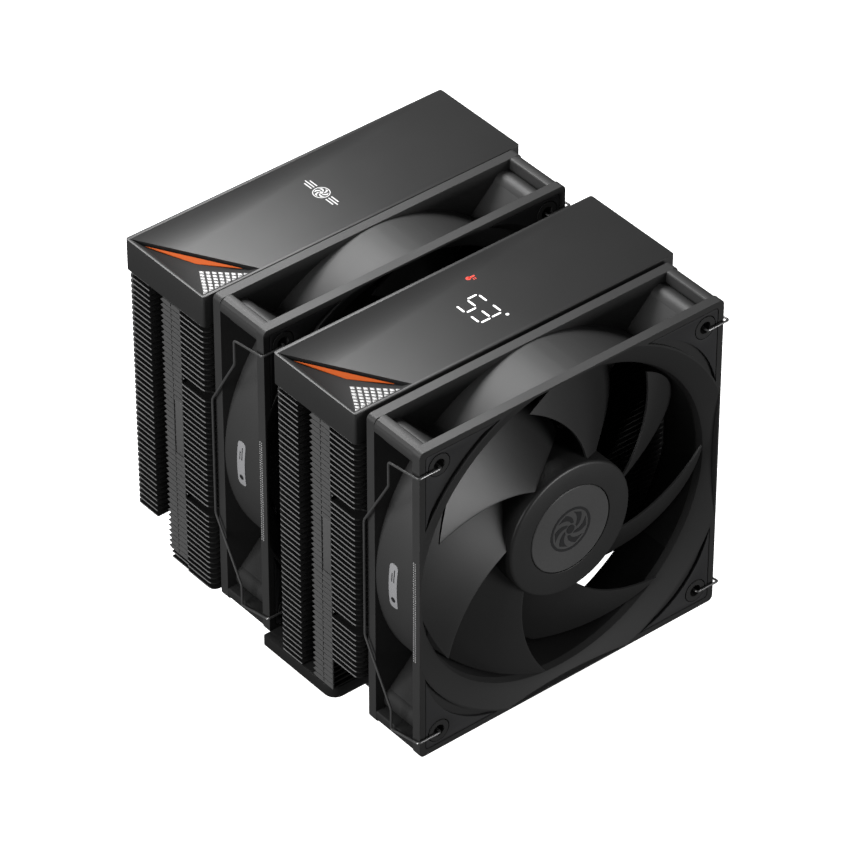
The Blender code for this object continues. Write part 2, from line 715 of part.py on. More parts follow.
def build_mounting():
    """The bar across the base and the screws in it."""
    outline = rounded_rectangle((-BAR_LENGTH / 2, -BAR_WIDTH / 2), (BAR_LENGTH / 2, BAR_WIDTH / 2),
                                5 * MM)
    holes = [circle(2.6 * MM, 12, (side * SCREW_X, 0)) for side in (-1, 1)]
    holes += [circle(1.85 * MM, 10, (side * BAR_SCREW_X, 0)) for side in (-1, 1)]
    finish(plate("mounting_bar", [outline] + holes, BAR_BOTTOM, BAR_TOP, model), STEEL)
    for side, word in ((-1, "left"), (1, "right")):
        build_bar_screw(f"bar_screw_{word}", side * BAR_SCREW_X)
        build_sprung_screw(word, side * SCREW_X)


def build_bar_screw(name, x):
    head = BAR_TOP + GAP
    screw = turned(name, [(0, 13 * MM), (0, head + 2 * MM), (2.2 * MM, head + 2 * MM),
                          (2.8 * MM, head + 1.3 * MM), (2.8 * MM, head), (1.5 * MM, head),
                          (1.5 * MM, 13 * MM)], 16, model)
    socket = rod("socket", 1.3 * MM, (0, 0, head + MM), (0, 0, head + 4 * MM), 6, helpers)
    boolean(screw, [socket], "DIFFERENCE")
    screw.location.x = x
    finish(screw, STEEL, smooth=True)


def build_sprung_screw(word, x):
    """A screw pushed up by a coil spring and kept in the bar by a clip below it."""
    head = BAR_TOP + 2 * GAP + SPRING_LENGTH
    shank = 1.9 * MM
    screw = turned(f"spring_screw_{word}", [
        (0, SCREW_TIP), (0, head + 5.4 * MM), (4 * MM, head + 5.4 * MM),
        (4.8 * MM, head + 4.6 * MM), (4.8 * MM, head), (shank, head),
        (shank, SCREW_TIP + 0.7 * MM), (1.3 * MM, SCREW_TIP)], 16, model)
    top = head + 2.6 * MM
    slots = [box("slot", (-a * MM, -b * MM, top), (a * MM, b * MM, top + 5 * MM), helpers)
             for a, b in ((3.2, 0.55), (0.55, 3.2))]
    boolean(screw, slots, "DIFFERENCE")
    screw.location.x = x
    finish(screw, STEEL, smooth=True)
    steps = 8 * SPRING_TURNS
    bottom = BAR_TOP + GAP + SPRING_WIRE
    travel = SPRING_LENGTH - 2 * SPRING_WIRE
    coil = []
    for i in range(steps + 1):
        turn = 2 * math.pi * i / 8
        coil.append((SPRING_RADIUS * math.cos(turn), SPRING_RADIUS * math.sin(turn),
                     bottom + travel * i / steps))
    spring = wire(f"screw_spring_{word}", coil, SPRING_WIRE, 1, model)
    spring.location.x = x
    finish(spring, STEEL, smooth=True)
    gap_turn = math.radians(32)
    turns = [gap_turn + (2 * math.pi - 2 * gap_turn) * i / 10 for i in range(11)]
    ring = [(4 * MM * math.cos(t), 4 * MM * math.sin(t)) for t in turns]
    ring += [(2.25 * MM * math.cos(t), 2.25 * MM * math.sin(t)) for t in reversed(turns)]
    clip = plate(f"screw_clip_{word}", [ring], BAR_BOTTOM - GAP - 0.9 * MM, BAR_BOTTOM - GAP, model)
    clip.location.x = x
    finish(clip, STEEL)


# ---------------------------------------------------------------- the whole cooler

clear_scene()
model = make_collection("cpu_tower_cooler")
helpers = make_collection("cutters")

FAN_PLASTIC = make_material("fan_plastic", (0.02, 0.02, 0.021), 0.5)
FINS = make_material("fin_black", BLACK, 0.45, 0.3)
COVER_TOP = make_material("cover_satin", (0.09, 0.09, 0.093), 0.42, 0.4)
COVER_SIDE = make_material("plate_black", (0.02, 0.02, 0.021), 0.5)
RUBBER = make_material("pad_rubber", BLACK, 0.75)
CLIP_STEEL = make_material("clip_steel", (0.03, 0.03, 0.03), 0.35, 0.8)
STEEL = make_material("steel", (0.55, 0.55, 0.56), 0.3, 1.0)
BADGE = make_material("hub_badge", (0.16, 0.16, 0.165), 0.35, 0.8)
SILVER = make_material("silver_insert", (0.75, 0.75, 0.76), 0.3, 0.8)
ORANGE = make_material("orange_accent", (0.75, 0.13, 0.03), 0.45)
LENS = make_material("lens", (0.2, 0.2, 0.2), 0.2)
BOARD = make_material("circuit_board", (0.01, 0.05, 0.03), 0.5)
BRASS = make_material("brass", (0.6, 0.42, 0.18), 0.35, 1.0)
MAGNET = make_material("magnet", (0.05, 0.05, 0.055), 0.6, 0.5)
STATOR = make_material("stator", (0.3, 0.2, 0.12), 0.45, 0.8)
PIPE_METAL = make_material("pipe_nickel", (0.6, 0.58, 0.56), 0.3, 1.0)
COPPER = make_material("copper", (0.72, 0.38, 0.24), 0.25, 1.0)
ALUMINIUM = make_material("aluminium", (0.65, 0.65, 0.67), 0.4, 1.0)

for fan_name, (fan_front, fan_centre) in FANS.items():
    build_fan(fan_name, fan_front, fan_centre)
build_fin_stack("front_fin_stack", -TOWER_PITCH / 2, True)
build_fin_stack("rear_fin_stack", TOWER_PITCH / 2, False)
for tower_name, tower_side in (("front", -1), ("rear", 1)):
    build_cover(tower_name + "_top_cover", tower_side * TOWER_PITCH / 2)
    build_recess_pieces(tower_name, tower_side * TOWER_PITCH / 2)
for pipe_index, pipe_x in enumerate(PIPE_XS, start=1):
    build_heat_pipe(pipe_index, pipe_x)
build_bottom_plate()
build_display()
build_base()
build_mounting()
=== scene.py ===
"""The looks of the dual-tower processor cooler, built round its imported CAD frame. For Blender 4.5.

Shapes are drawn in millimetres and scaled to metres as each piece is made. A fan's pieces are
drawn about the centre of its front face, with +Y to its back. A tower's pieces are drawn about
the tower's middle, with the fan side at -Y, and heights above the cold plate's contact face.
"""

import math

import bmesh
import bpy
from mathutils import Matrix, Vector


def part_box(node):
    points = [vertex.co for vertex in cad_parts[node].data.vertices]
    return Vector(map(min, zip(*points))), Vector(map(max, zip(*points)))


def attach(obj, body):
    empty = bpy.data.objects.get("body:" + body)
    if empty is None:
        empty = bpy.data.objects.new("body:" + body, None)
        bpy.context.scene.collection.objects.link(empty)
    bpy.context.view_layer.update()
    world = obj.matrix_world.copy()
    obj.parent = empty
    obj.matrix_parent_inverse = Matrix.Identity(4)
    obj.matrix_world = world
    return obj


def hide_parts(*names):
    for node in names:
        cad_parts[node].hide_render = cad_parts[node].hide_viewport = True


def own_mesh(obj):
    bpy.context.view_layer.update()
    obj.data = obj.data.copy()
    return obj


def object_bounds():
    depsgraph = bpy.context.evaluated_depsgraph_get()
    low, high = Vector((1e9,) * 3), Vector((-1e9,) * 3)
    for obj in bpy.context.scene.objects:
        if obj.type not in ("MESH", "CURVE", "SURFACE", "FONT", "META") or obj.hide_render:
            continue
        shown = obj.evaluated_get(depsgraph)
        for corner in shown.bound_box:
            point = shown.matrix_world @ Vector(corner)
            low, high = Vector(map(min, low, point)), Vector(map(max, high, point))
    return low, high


MM = 0.001
scene = bpy.context.scene
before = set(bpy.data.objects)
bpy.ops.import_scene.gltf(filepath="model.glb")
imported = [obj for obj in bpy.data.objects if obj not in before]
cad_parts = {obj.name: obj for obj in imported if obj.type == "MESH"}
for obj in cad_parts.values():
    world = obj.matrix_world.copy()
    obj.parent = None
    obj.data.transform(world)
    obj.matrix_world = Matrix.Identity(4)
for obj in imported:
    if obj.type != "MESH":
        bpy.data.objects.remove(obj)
cad_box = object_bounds()


def corner_mm(node, which):
    """The lowest (0) or highest (1) corner of a CAD node, in millimetres."""
    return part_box(node)[which] / MM


FANS = ("front_fan", "middle_fan")
TOWERS = ("front", "rear")
FAN_PLACE = {fan: Vector((0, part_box(fan + "_frame")[0].y,
                          (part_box(fan + "_frame")[0].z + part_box(fan + "_frame")[1].z) / 2))
             for fan in FANS}
TOWER_Y = {tower: (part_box(tower + "_top_cover")[0].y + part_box(tower + "_top_cover")[1].y) / 2
           for tower in TOWERS}

# Fan
HALF_FAN = 60.0
FAN_DEPTH = 25.0
FLANGE = 3.5
HOLE_OFFSET = 52.5
HOLE_RADIUS = 2.15
DUCT_OUTER = 59.6
DUCT_INNER = 55.7
FUNNEL_RADIUS = 64.0        # the funnel's radius at the front face, before the square limits it
FUNNEL_SQUARE = 59.3
REAR_RADIUS = 60.5          # the flare's radius at the back face, also limited by the square
PAD_SIDE = 57.8
PAD_DEPTH = 1.2
POCKET_ARC = 64.6
HUB_RADIUS = 24.0
HUB_FRONT = 0.5
HUB_BACK = 20.5
TIP_RADIUS = 54.6
BLADES = 7
BADGE_RADIUS = 15.5
STRUTS = 4
CLIP_REACH = 61.3           # from the fan's middle out to the wire that runs beside it
CLIP_WIRE_RADIUS = 0.40

# Towers; the _SIDE pairs are the front and back ends of a fin's three parts along Y
FIN_PITCH = 2.1
FIN_THICKNESS = 0.5
FIN_HALF_WIDTH = 62.5
FIN_TOP = corner_mm("rear_fin_stack", 1).z - 0.1
FIN_BOTTOM = corner_mm("rear_fin_stack", 0).z
NEAR_SIDE = (-19.75, -6.6)
WALL_SIDE = (-6.6, 2.3)
FAR_SIDE = (8.7, 19.75)
RECESS_X = 54.0
OUTER_BOTTOM = 51.3         # below this height the outer part of each fin is left out
NOTCH_HEIGHTS = (117.5, 73.0)
PANEL_HEIGHTS = (87.0, 108.6)

# Heat pipes
PIPE_XS = (-45, -27, -9, 9, 27, 45)
PIPE_RADIUS = 3.0
PIPE_LEVEL = 8.0
PIPE_BASE_PITCH = 7.0

# Covers
COVER_TOP = corner_mm("front_top_cover", 1).z
COVER_BOTTOM = corner_mm("front_top_cover", 0).z
COVER_HALF = corner_mm("front_top_cover", 1).x
COVER_DEPTH = corner_mm("rear_top_cover", 1).y - corner_mm("rear_top_cover", 0).y
COVER_WALL = 1.5

# Base
BAR_SCREW_X = 15


# ---------------------------------------------------------------- materials

PATCH_SIZE = 25             # of the wide soft patches in every finish, in millimetres
RING_SPAN = 0.314           # the wave texture's ring spacing at a scale of 1


def material(name, colour, roughness, metallic=0.0, grain=0.5, bump=0.02, mottle=0.12, spread=0.05,
             specular=0.5):
    """A procedural finish.

    Noise of the grain's size, in millimetres, shades the colour by mottle and the roughness by
    spread, and raises the surface by bump millimetres. A slower noise adds wide soft patches.
    """
    finish = bpy.data.materials.new(name)
    finish.use_nodes = True
    nodes, links = finish.node_tree.nodes, finish.node_tree.links
    shader = nodes["Principled BSDF"]
    shader.inputs["Metallic"].default_value = metallic
    shader.inputs["Specular IOR Level"].default_value = specular
    place = nodes.new("ShaderNodeTexCoord")
    fine = nodes.new("ShaderNodeTexNoise")
    fine.inputs["Scale"].default_value = 1 / (grain * MM)
    fine.inputs["Detail"].default_value = 3
    wide = nodes.new("ShaderNodeTexNoise")
    wide.inputs["Scale"].default_value = 1 / (PATCH_SIZE * MM)
    wide.inputs["Detail"].default_value = 2
    both = nodes.new("ShaderNodeMath")
    both.operation = "ADD"
    links.new(place.outputs["Object"], fine.inputs["Vector"])
    links.new(place.outputs["Object"], wide.inputs["Vector"])
    links.new(fine.outputs["Fac"], both.inputs[0])
    links.new(wide.outputs["Fac"], both.inputs[1])
    shade = nodes.new("ShaderNodeMapRange")
    rough = nodes.new("ShaderNodeMapRange")
    for remap in (shade, rough):
        remap.inputs["From Min"].default_value = 0.5
        remap.inputs["From Max"].default_value = 1.5
        links.new(both.outputs[0], remap.inputs["Value"])
    ramp = nodes.new("ShaderNodeValToRGB")
    ramp.color_ramp.elements[0].color = (*[c * (1 - mottle) for c in colour], 1)
    ramp.color_ramp.elements[1].color = (*[c * (1 + mottle) for c in colour], 1)
    links.new(shade.outputs[0], ramp.inputs["Fac"])
    links.new(ramp.outputs["Color"], shader.inputs["Base Color"])
    rough.inputs["To Min"].default_value = max(roughness - spread, 0.02)
    rough.inputs["To Max"].default_value = min(roughness + spread, 1)
    links.new(rough.outputs[0], shader.inputs["Roughness"])
    relief = nodes.new("ShaderNodeBump")
    relief.inputs["Strength"].default_value = 0.6
    relief.inputs["Distance"].default_value = bump * MM
    links.new(fine.outputs["Fac"], relief.inputs["Height"])
    links.new(relief.outputs["Normal"], shader.inputs["Normal"])
    return finish


def lit(finish, colour, strength):
    """The same finish, giving off light of its own."""
    shader = finish.node_tree.nodes["Principled BSDF"]
    shader.inputs["Emission Color"].default_value = (*colour, 1)
    shader.inputs["Emission Strength"].default_value = strength
    return finish


def spun(finish, spacing, depth):
    """The same finish with turned rings about its object's Y axis in place of the grain's relief."""
    nodes, links = finish.node_tree.nodes, finish.node_tree.links
    rings = nodes.new("ShaderNodeTexWave")
    rings.wave_type = "RINGS"
    rings.rings_direction = "Y"
    rings.inputs["Scale"].default_value = RING_SPAN / (spacing * MM)
    rings.inputs["Distortion"].default_value = 0.3
    relief = next(n for n in nodes if n.bl_idname == "ShaderNodeBump")
    place = next(n for n in nodes if n.bl_idname == "ShaderNodeTexCoord")
    relief.inputs["Distance"].default_value = depth * MM
    links.new(place.outputs["Object"], rings.inputs["Vector"])
    links.new(rings.outputs["Fac"], relief.inputs["Height"])
    return finish


# A darker, duller copy of the frame plastic: painted shade for the front faces and the underside.
FAN_SHADED_FACE = material("fan_plastic_painted_shade", (0.024, 0.024, 0.024), 0.6, grain=0.35, bump=0.015,
                    specular=0.25)
FAN_PLASTIC = material("fan_plastic", (0.034, 0.034, 0.034), 0.50, grain=0.35, bump=0.012)
BLADE_PLASTIC = material("blade_plastic", (0.020, 0.020, 0.020), 0.42, grain=0.6, bump=0.004)
# The fins' black coat; the covers also use it as painted shade on the recess's steep wall.
FIN_BLACK_AND_SHADE = material("fin_black", (0.004, 0.004, 0.004), 0.6, grain=0.8, bump=0.01)
# Light grey for the fins' outer edge faces: a painted highlight.
FIN_EDGE_HIGHLIGHT = material("fin_edge_painted_highlight", (0.28, 0.28, 0.28), 0.45, metallic=0.3, grain=0.8, bump=0.01)
FIN_WALL = material("fin_wall", (0.13, 0.13, 0.13), 0.42, metallic=0.3, grain=0.7, bump=0.01)
COVER_SATIN = material("cover_satin", (0.026, 0.026, 0.026), 0.40, grain=0.25, bump=0.010,
                       mottle=0.08, spread=0.03)
RECESS_SATIN = material("recess_satin", (0.015, 0.015, 0.015), 0.6, grain=0.25, bump=0.008,
                        specular=0.25)
PLATE_SATIN = material("plate_satin", (0.014, 0.014, 0.014), 0.45, grain=0.25, bump=0.008,
                       specular=0.3)
RUBBER = material("pad_rubber", (0.014, 0.014, 0.015), 0.75, grain=0.3, bump=0.02)
CLIP_STEEL = material("clip_steel", (0.22, 0.22, 0.22), 0.32, metallic=0.8, grain=0.4, bump=0.004)
STEEL = material("steel", (0.42, 0.42, 0.44), 0.30, metallic=1.0, grain=0.4, bump=0.005)
DARK_STEEL = material("dark_steel", (0.05, 0.05, 0.055), 0.38, metallic=0.8, grain=0.5, bump=0.008)
BADGE = spun(material("hub_badge", (0.11, 0.11, 0.11), 0.42, metallic=0.5, grain=0.6), 0.35, 0.01)
BADGE_MARK = material("hub_badge_mark", (0.012, 0.012, 0.013), 0.5, grain=0.4)
SILVER = material("silver_insert", (0.80, 0.80, 0.80), 0.35, metallic=0.15, grain=0.3, bump=0.004)
INSERT_BASE = material("insert_base", (0.006, 0.006, 0.006), 0.6, grain=0.3)
ORANGE = material("orange_accent", (0.52, 0.085, 0.004), 0.5, grain=0.4, bump=0.006, mottle=0.08,
                  specular=0.1)
LENS = material("lens", (0.5, 0.5, 0.52), 0.2, grain=1.0, bump=0.002)
DIGIT = lit(material("display_white", (0.85, 0.85, 0.85), 0.4, grain=0.5, bump=0.002),
            (1, 1, 1), 1.2)
SIGN_RED = lit(material("display_red", (0.6, 0.05, 0.03), 0.4, grain=0.5, bump=0.002),
               (1, 0.07, 0.04), 0.6)
PRINT = material("print_white", (0.8, 0.8, 0.8), 0.45, grain=0.5, bump=0.003)
LABEL = material("label_grey", (0.34, 0.34, 0.35), 0.5, grain=0.4, bump=0.006)
DOTS = material("dot_grey", (0.45, 0.45, 0.45), 0.5, grain=0.4, bump=0.006)
BOARD = material("circuit_board", (0.012, 0.05, 0.025), 0.5, grain=0.9, bump=0.02)
BRASS = material("brass", (0.58, 0.38, 0.12), 0.32, metallic=1.0, grain=0.5, bump=0.006)
MAGNET = material("magnet", (0.06, 0.058, 0.056), 0.6, grain=0.3, bump=0.02)
STATOR = material("stator", (0.30, 0.30, 0.31), 0.45, metallic=0.8, grain=0.5, bump=0.02)
PIPE_METAL = material("pipe_nickel", (0.030, 0.030, 0.032), 0.34, metallic=0.5, grain=0.7, bump=0.006)
COPPER = material("copper", (0.50, 0.34, 0.26), 0.45, metallic=1.0, grain=0.5, bump=0.004)
ALUMINIUM = material("aluminium", (0.05, 0.05, 0.053), 0.42, metallic=0.6, grain=0.5, bump=0.01)


# ---------------------------------------------------------------- shapes

def to_object(name, bm, finish, angle=35):
    """A piece from a mesh in millimetres; creases sharper than angle stay sharp."""
    bm.transform(Matrix.Scale(MM, 4))
    mesh = bpy.data.meshes.new(name)
    bm.to_mesh(mesh)
    bm.free()
    mesh.materials.append(finish)
    obj = bpy.data.objects.new(name, mesh)
    scene.collection.objects.link(obj)
    return sharpen(obj, angle)


def outward(bm):
    """The same closed mesh with every face turned to look out."""
    bmesh.ops.recalc_face_normals(bm, faces=bm.faces)
    if bm.calc_volume(signed=True) < 0:
        bmesh.ops.reverse_faces(bm, faces=bm.faces)
    return bm


def mirrored(bm, side):
    """The same mesh on the side of X that side gives, -1 or 1."""
    if side < 0:
        bmesh.ops.scale(bm, vec=(-1, 1, 1), verts=bm.verts)
        bmesh.ops.reverse_faces(bm, faces=bm.faces)
    return bm


def sharpen(obj, angle=35):
    """Smooth shading, with creases sharper than angle kept sharp."""
    obj.data.shade_smooth()
    obj.data.set_sharp_from_angle(angle=math.radians(angle))
    return obj


def mesh_of(curve):
    """The closed mesh that a curve makes, welded."""
    obj = bpy.data.objects.new(curve.name, curve)
    scene.collection.objects.link(obj)
    bpy.context.view_layer.update()
    mesh = bpy.data.meshes.new_from_object(obj.evaluated_get(bpy.context.evaluated_depsgraph_get()))
    bpy.data.objects.remove(obj)
    bm = bmesh.new()
    bm.from_mesh(mesh)
    bpy.data.meshes.remove(mesh)
    bmesh.ops.remove_doubles(bm, verts=bm.verts, dist=0.0005)
    return outward(bm)


def slab(outlines, low, high, edge=0.0, upright=False):
    """Outlines filled and given thickness from low to high, with edges rounded by edge.

    They lie flat and rise along Z, or stand as (x, z) outlines and run back along Y if upright.
    """
    curve = bpy.data.curves.new("slab", "CURVE")
    curve.dimensions = "2D"
    curve.fill_mode = "BOTH"
    curve.extrude = (high - low) / 2
    for outline in outlines:
        spline = curve.splines.new("POLY")
        spline.points.add(len(outline) - 1)
        for point, (a, b) in zip(spline.points, outline):
            point.co = (a, -b if upright else b, 0, 1)
        spline.use_cyclic_u = True
    bm = mesh_of(curve)
    if edge:
        rims = [e for e in bm.edges if len(e.link_faces) == 2 and e.calc_face_angle(0) > 1.2
                and abs(e.verts[0].co.z - e.verts[1].co.z) < 0.001]
        bmesh.ops.bevel(bm, geom=rims, offset=edge, segments=2, profile=0.5, affect="EDGES",
                        clamp_overlap=True)
    bmesh.ops.translate(bm, vec=(0, 0, (low + high) / 2), verts=bm.verts)
    if upright:
        bm.transform(Matrix.Rotation(math.radians(-90), 4, "X"))
    return bm


def turned(profile, steps=96, axis="Y"):
    """A closed profile of (radius, height) points, turned right round an axis."""
    bm = bmesh.new()
    corners = [bm.verts.new((radius, 0, height)) for radius, height in profile]
    edges = [bm.edges.new((a, b)) for a, b in zip(corners, corners[1:] + corners[:1])
             if a.co.x > 0 or b.co.x > 0]
    bmesh.ops.spin(bm, geom=corners + edges, cent=(0, 0, 0), axis=(0, 0, 1),
                   angle=2 * math.pi, steps=steps)
    bmesh.ops.remove_doubles(bm, verts=bm.verts, dist=0.001)
    if axis == "Y":
        bm.transform(Matrix.Rotation(math.radians(-90), 4, "X"))
    return outward(bm)


def tube(points, radius, resolution=3):
    """A round bar along points, closed at both ends."""
    curve = bpy.data.curves.new("tube", "CURVE")
    curve.dimensions = "3D"
    curve.bevel_depth = radius
    curve.bevel_resolution = resolution
    curve.use_fill_caps = True
    spline = curve.splines.new("POLY")
    spline.points.add(len(points) - 1)
    for point, place in zip(spline.points, points):
        point.co = (*place, 1)
    return mesh_of(curve)


def block(low, high, edge=0.0):
    """A box between two corners with rounded edges."""
    low, high = Vector(low), Vector(high)
    bm = bmesh.new()
    bmesh.ops.create_cube(bm, size=1)
    bmesh.ops.scale(bm, vec=high - low, verts=bm.verts)
    bmesh.ops.translate(bm, vec=(low + high) / 2, verts=bm.verts)
    if edge:
        bmesh.ops.bevel(bm, geom=bm.edges[:], offset=edge, segments=2, profile=0.5, affect="EDGES")
    return bm


def hull(points):
    """The smallest convex solid round a few corner points."""
    bm = bmesh.new()
    for point in points:
        bm.verts.new(point)
    found = bmesh.ops.convex_hull(bm, input=bm.verts)
    inside = [v for v in found["geom_interior"] if isinstance(v, bmesh.types.BMVert)]
    bmesh.ops.delete(bm, geom=inside, context="VERTS")
    return outward(bm)


def join(meshes):
    """Several meshes as one."""
    whole = bmesh.new()
    for bm in meshes:
        part = bpy.data.meshes.new("part")
        bm.to_mesh(part)
        bm.free()
        whole.from_mesh(part)
        bpy.data.meshes.remove(part)
    return whole


def moved(bm, place=(0, 0, 0), turn=0.0, axis="Y"):
    """The same mesh turned by degrees about an axis, then moved."""
    bm.transform(Matrix.Translation(place) @ Matrix.Rotation(math.radians(turn), 4, axis))
    return bm


def boolean(obj, tools, operation):
    """Joins or cuts obj with tools, which are meshes in millimetres."""
    group = bpy.data.collections.new(operation)
    scene.collection.children.link(group)
    helpers = []
    for bm in tools:
        helper = to_object("tool", bm, obj.data.materials[0])
        helper.location = obj.location
        scene.collection.objects.unlink(helper)
        group.objects.link(helper)
        helpers.append(helper)
    modifier = obj.modifiers.new(operation, "BOOLEAN")
    modifier.operand_type = "COLLECTION"
    modifier.collection = group
    modifier.operation = operation
    modifier.solver = "MANIFOLD"
    bpy.context.view_layer.update()
    mesh = bpy.data.meshes.new_from_object(obj.evaluated_get(bpy.context.evaluated_depsgraph_get()))
    obj.modifiers.clear()
    obj.data = mesh
    for helper in helpers:
        bpy.data.objects.remove(helper)
    bpy.data.collections.remove(group)
    return sharpen(obj)


def arc(radius, first, last, steps, centre=(0, 0)):
    """Points on a circle between two directions in degrees."""
    turns = [math.radians(first + (last - first) * i / steps) for i in range(steps + 1)]
    return [(centre[0] + radius * math.cos(t), centre[1] + radius * math.sin(t)) for t in turns]


def polar(radius, turn):
    """The point at a radius in a direction in degrees."""
    return radius * math.cos(math.radians(turn)), radius * math.sin(math.radians(turn))


def circle(radius, sides=32, centre=(0, 0)):
    """A closed outline round a centre."""
    return arc(radius, 0, 360, sides, centre)[:-1]


def rounded(corners, steps=5):
    """A closed outline of (a, b, radius) corners, each made an arc."""
    outline = []
    for i, (a, b, radius) in enumerate(corners):
        if not radius:
            outline.append((a, b))
            continue
        here = Vector((a, b))
        before = (Vector(corners[i - 1][:2]) - here).normalized()
        after = (Vector(corners[(i + 1) % len(corners)][:2]) - here).normalized()
        half = before.angle(after) / 2
        centre = here + (before + after).normalized() * radius / math.sin(half)
        start = here + before * radius / math.tan(half) - centre
        end = here + after * radius / math.tan(half) - centre
        first = math.degrees(math.atan2(start.y, start.x))
        sweep = (math.degrees(math.atan2(end.y, end.x)) - first + 180) % 360 - 180
        outline += arc(radius, first, first + sweep, steps, centre)
    return outline


def rounded_box(half_a, half_b, radius, steps=5):
    """A closed rectangle about the origin with four round corners."""
    return rounded([(half_a, half_b, radius), (-half_a, half_b, radius),
                    (-half_a, -half_b, radius), (half_a, -half_b, radius)], steps)


def rounded_path(points, radius, steps=6):
    """The same path with each inner corner made a short curve."""
    points = [Vector(p) for p in points]
    path = [points[0]]
    for before, corner, after in zip(points, points[1:], points[2:]):
        back = (before - corner).normalized()
        ahead = (after - corner).normalized()
        reach = min(radius, (before - corner).length / 2, (after - corner).length / 2)
        start, end = corner + back * reach, corner + ahead * reach
        for i in range(steps + 1):
            t = i / steps
            path.append(start * (1 - t) ** 2 + corner * 2 * t * (1 - t) + end * t ** 2)
    return path + [points[-1]]


def keep(obj, body, place=(0, 0, 0), nodes=()):
    """Puts a piece in its place and on its body, and hides the CAD nodes it replaces."""
    obj.location = place
    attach(obj, body)
    if nodes:
        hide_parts(*nodes)
    return obj


# ---------------------------------------------------------------- fans

def build_frame(fan):
    """Two flanges, the funnel-mouthed duct, corner bars, webbed bosses, struts and motor base."""
    outline = rounded_box(HALF_FAN, HALF_FAN, 1.8)
    shell = to_object(fan + "_shell", slab([outline], 0, FLANGE, 0.35, upright=True), FAN_PLASTIC)
    near, far = HALF_FAN - 4.8, HALF_FAN - 0.05     # the corner bars' inner and outer sides
    ends = (FLANGE / 2, FAN_DEPTH - FLANGE / 2)
    added = [slab([outline], FAN_DEPTH - FLANGE, FAN_DEPTH, 0.35, upright=True)]
    added.append(turned([(DUCT_INNER, 0.4), (DUCT_INNER, 18), (DUCT_INNER + 1.2, FAN_DEPTH - 0.05),
                         (DUCT_OUTER, FAN_DEPTH - 0.05), (DUCT_OUTER, 0.4)], 144))
    for i in range(4):
        quarter = 90 * i
        bar = slab([rounded([(far, far, 2.4), (near, far, 0.6), (near, near, 0.6),
                             (far, near, 0.6)], 3)], *ends, upright=True)
        boss = slab([circle(4.2, 24, (HOLE_OFFSET, HOLE_OFFSET))], *ends, upright=True)
        web = block((DUCT_INNER + 2.5, ends[0] + 0.2, -4),
                    (HOLE_OFFSET * math.sqrt(2), ends[1] - 0.2, 4))
        added += [moved(bar, turn=quarter), moved(boss, turn=quarter), moved(web, turn=45 + quarter)]
    boolean(shell, added, "UNION")
    mouth = to_object("mouth", turned([
        (0, -1), (FUNNEL_RADIUS, -1), (FUNNEL_RADIUS, 0), (58.3, 2.3), (56.6, 3.6),
        (DUCT_INNER, 5.6), (DUCT_INNER, 20), (REAR_RADIUS, FAN_DEPTH), (REAR_RADIUS, 26),
        (0, 26)], 144), FAN_PLASTIC)
    square = block((-FUNNEL_SQUARE, -2, -FUNNEL_SQUARE), (FUNNEL_SQUARE, 27, FUNNEL_SQUARE))
    boolean(mouth, [square], "INTERSECT")
    opening = bmesh.new()
    opening.from_mesh(mouth.data)
    opening.transform(Matrix.Scale(1 / MM, 4))
    bpy.data.objects.remove(mouth)
    cuts = [opening]
    for i in range(4):
        first = math.degrees(math.acos(PAD_SIDE / POCKET_ARC))
        outline = rounded([(PAD_SIDE, PAD_SIDE, 1.2)] + [
            (a, b, 0) for a, b in arc(POCKET_ARC, 90 - first, first, 20)], 4)
        pocket = slab([outline, circle(3.9, 24, (HOLE_OFFSET, HOLE_OFFSET))], -1, PAD_DEPTH,
                      upright=True)
        hole = slab([circle(HOLE_RADIUS, 24, (HOLE_OFFSET, HOLE_OFFSET))], -2, 27, upright=True)
        cuts += [moved(pocket, turn=90 * i), moved(hole, turn=90 * i)]
    boolean(shell, cuts, "DIFFERENCE")
    base = turned([(3.8, 9), (3.8, 22.9), (0, 22.9), (0, FAN_DEPTH), (21.6, FAN_DEPTH), (22, 24.6),
                   (22, 22.2), (5, 22.2), (5, 9)], 64)
    struts = [moved(block((21, 22.4, -2.2), (62, 24.9, 2.2), 0.5), turn=45 + 360 * i / STRUTS)
              for i in range(STRUTS)]
    boolean(shell, [base] + struts, "UNION")
    sharpen(shell, 20)
    shell.data.materials.append(FAN_SHADED_FACE)
    # Front-facing faces and the underside between the flanges take the darker copy as painted shade.
    for face in shell.data.polygons:
        front_painted_shade = face.normal.y < -0.3 and face.center.y < 6 * MM
        underside_painted_shade = face.center.z < -34 * MM and FLANGE * MM < face.center.y < (FAN_DEPTH - FLANGE) * MM
        if front_painted_shade or underside_painted_shade:
            face.material_index = 1
    keep(shell, "cooler", FAN_PLACE[fan], [fan + "_frame"])


def build_pads(fan):
    """Rubber pads in the pockets at the front flange's corners."""
    side = PAD_SIDE - 0.25
    centre = (32 / math.sqrt(2), 32 / math.sqrt(2))
    inner_arc = 35.7
    first = math.degrees(math.asin((side - centre[0]) / inner_arc))
    outline = rounded([(side, side, 1)] + [
        (a, b, 0) for a, b in arc(inner_arc, first, 90 - first, 16, centre)], 4)
    for i in range(4):
        pad = slab([outline, circle(4.2, 28, (HOLE_OFFSET, HOLE_OFFSET))], 0.06, PAD_DEPTH - 0.02, 0.22,
                   upright=True)
        name = f"{fan}_pad_{i + 1}"
        keep(to_object(name + "_rubber", moved(pad, turn=90 * i), RUBBER), "cooler",
             FAN_PLACE[fan], [name])


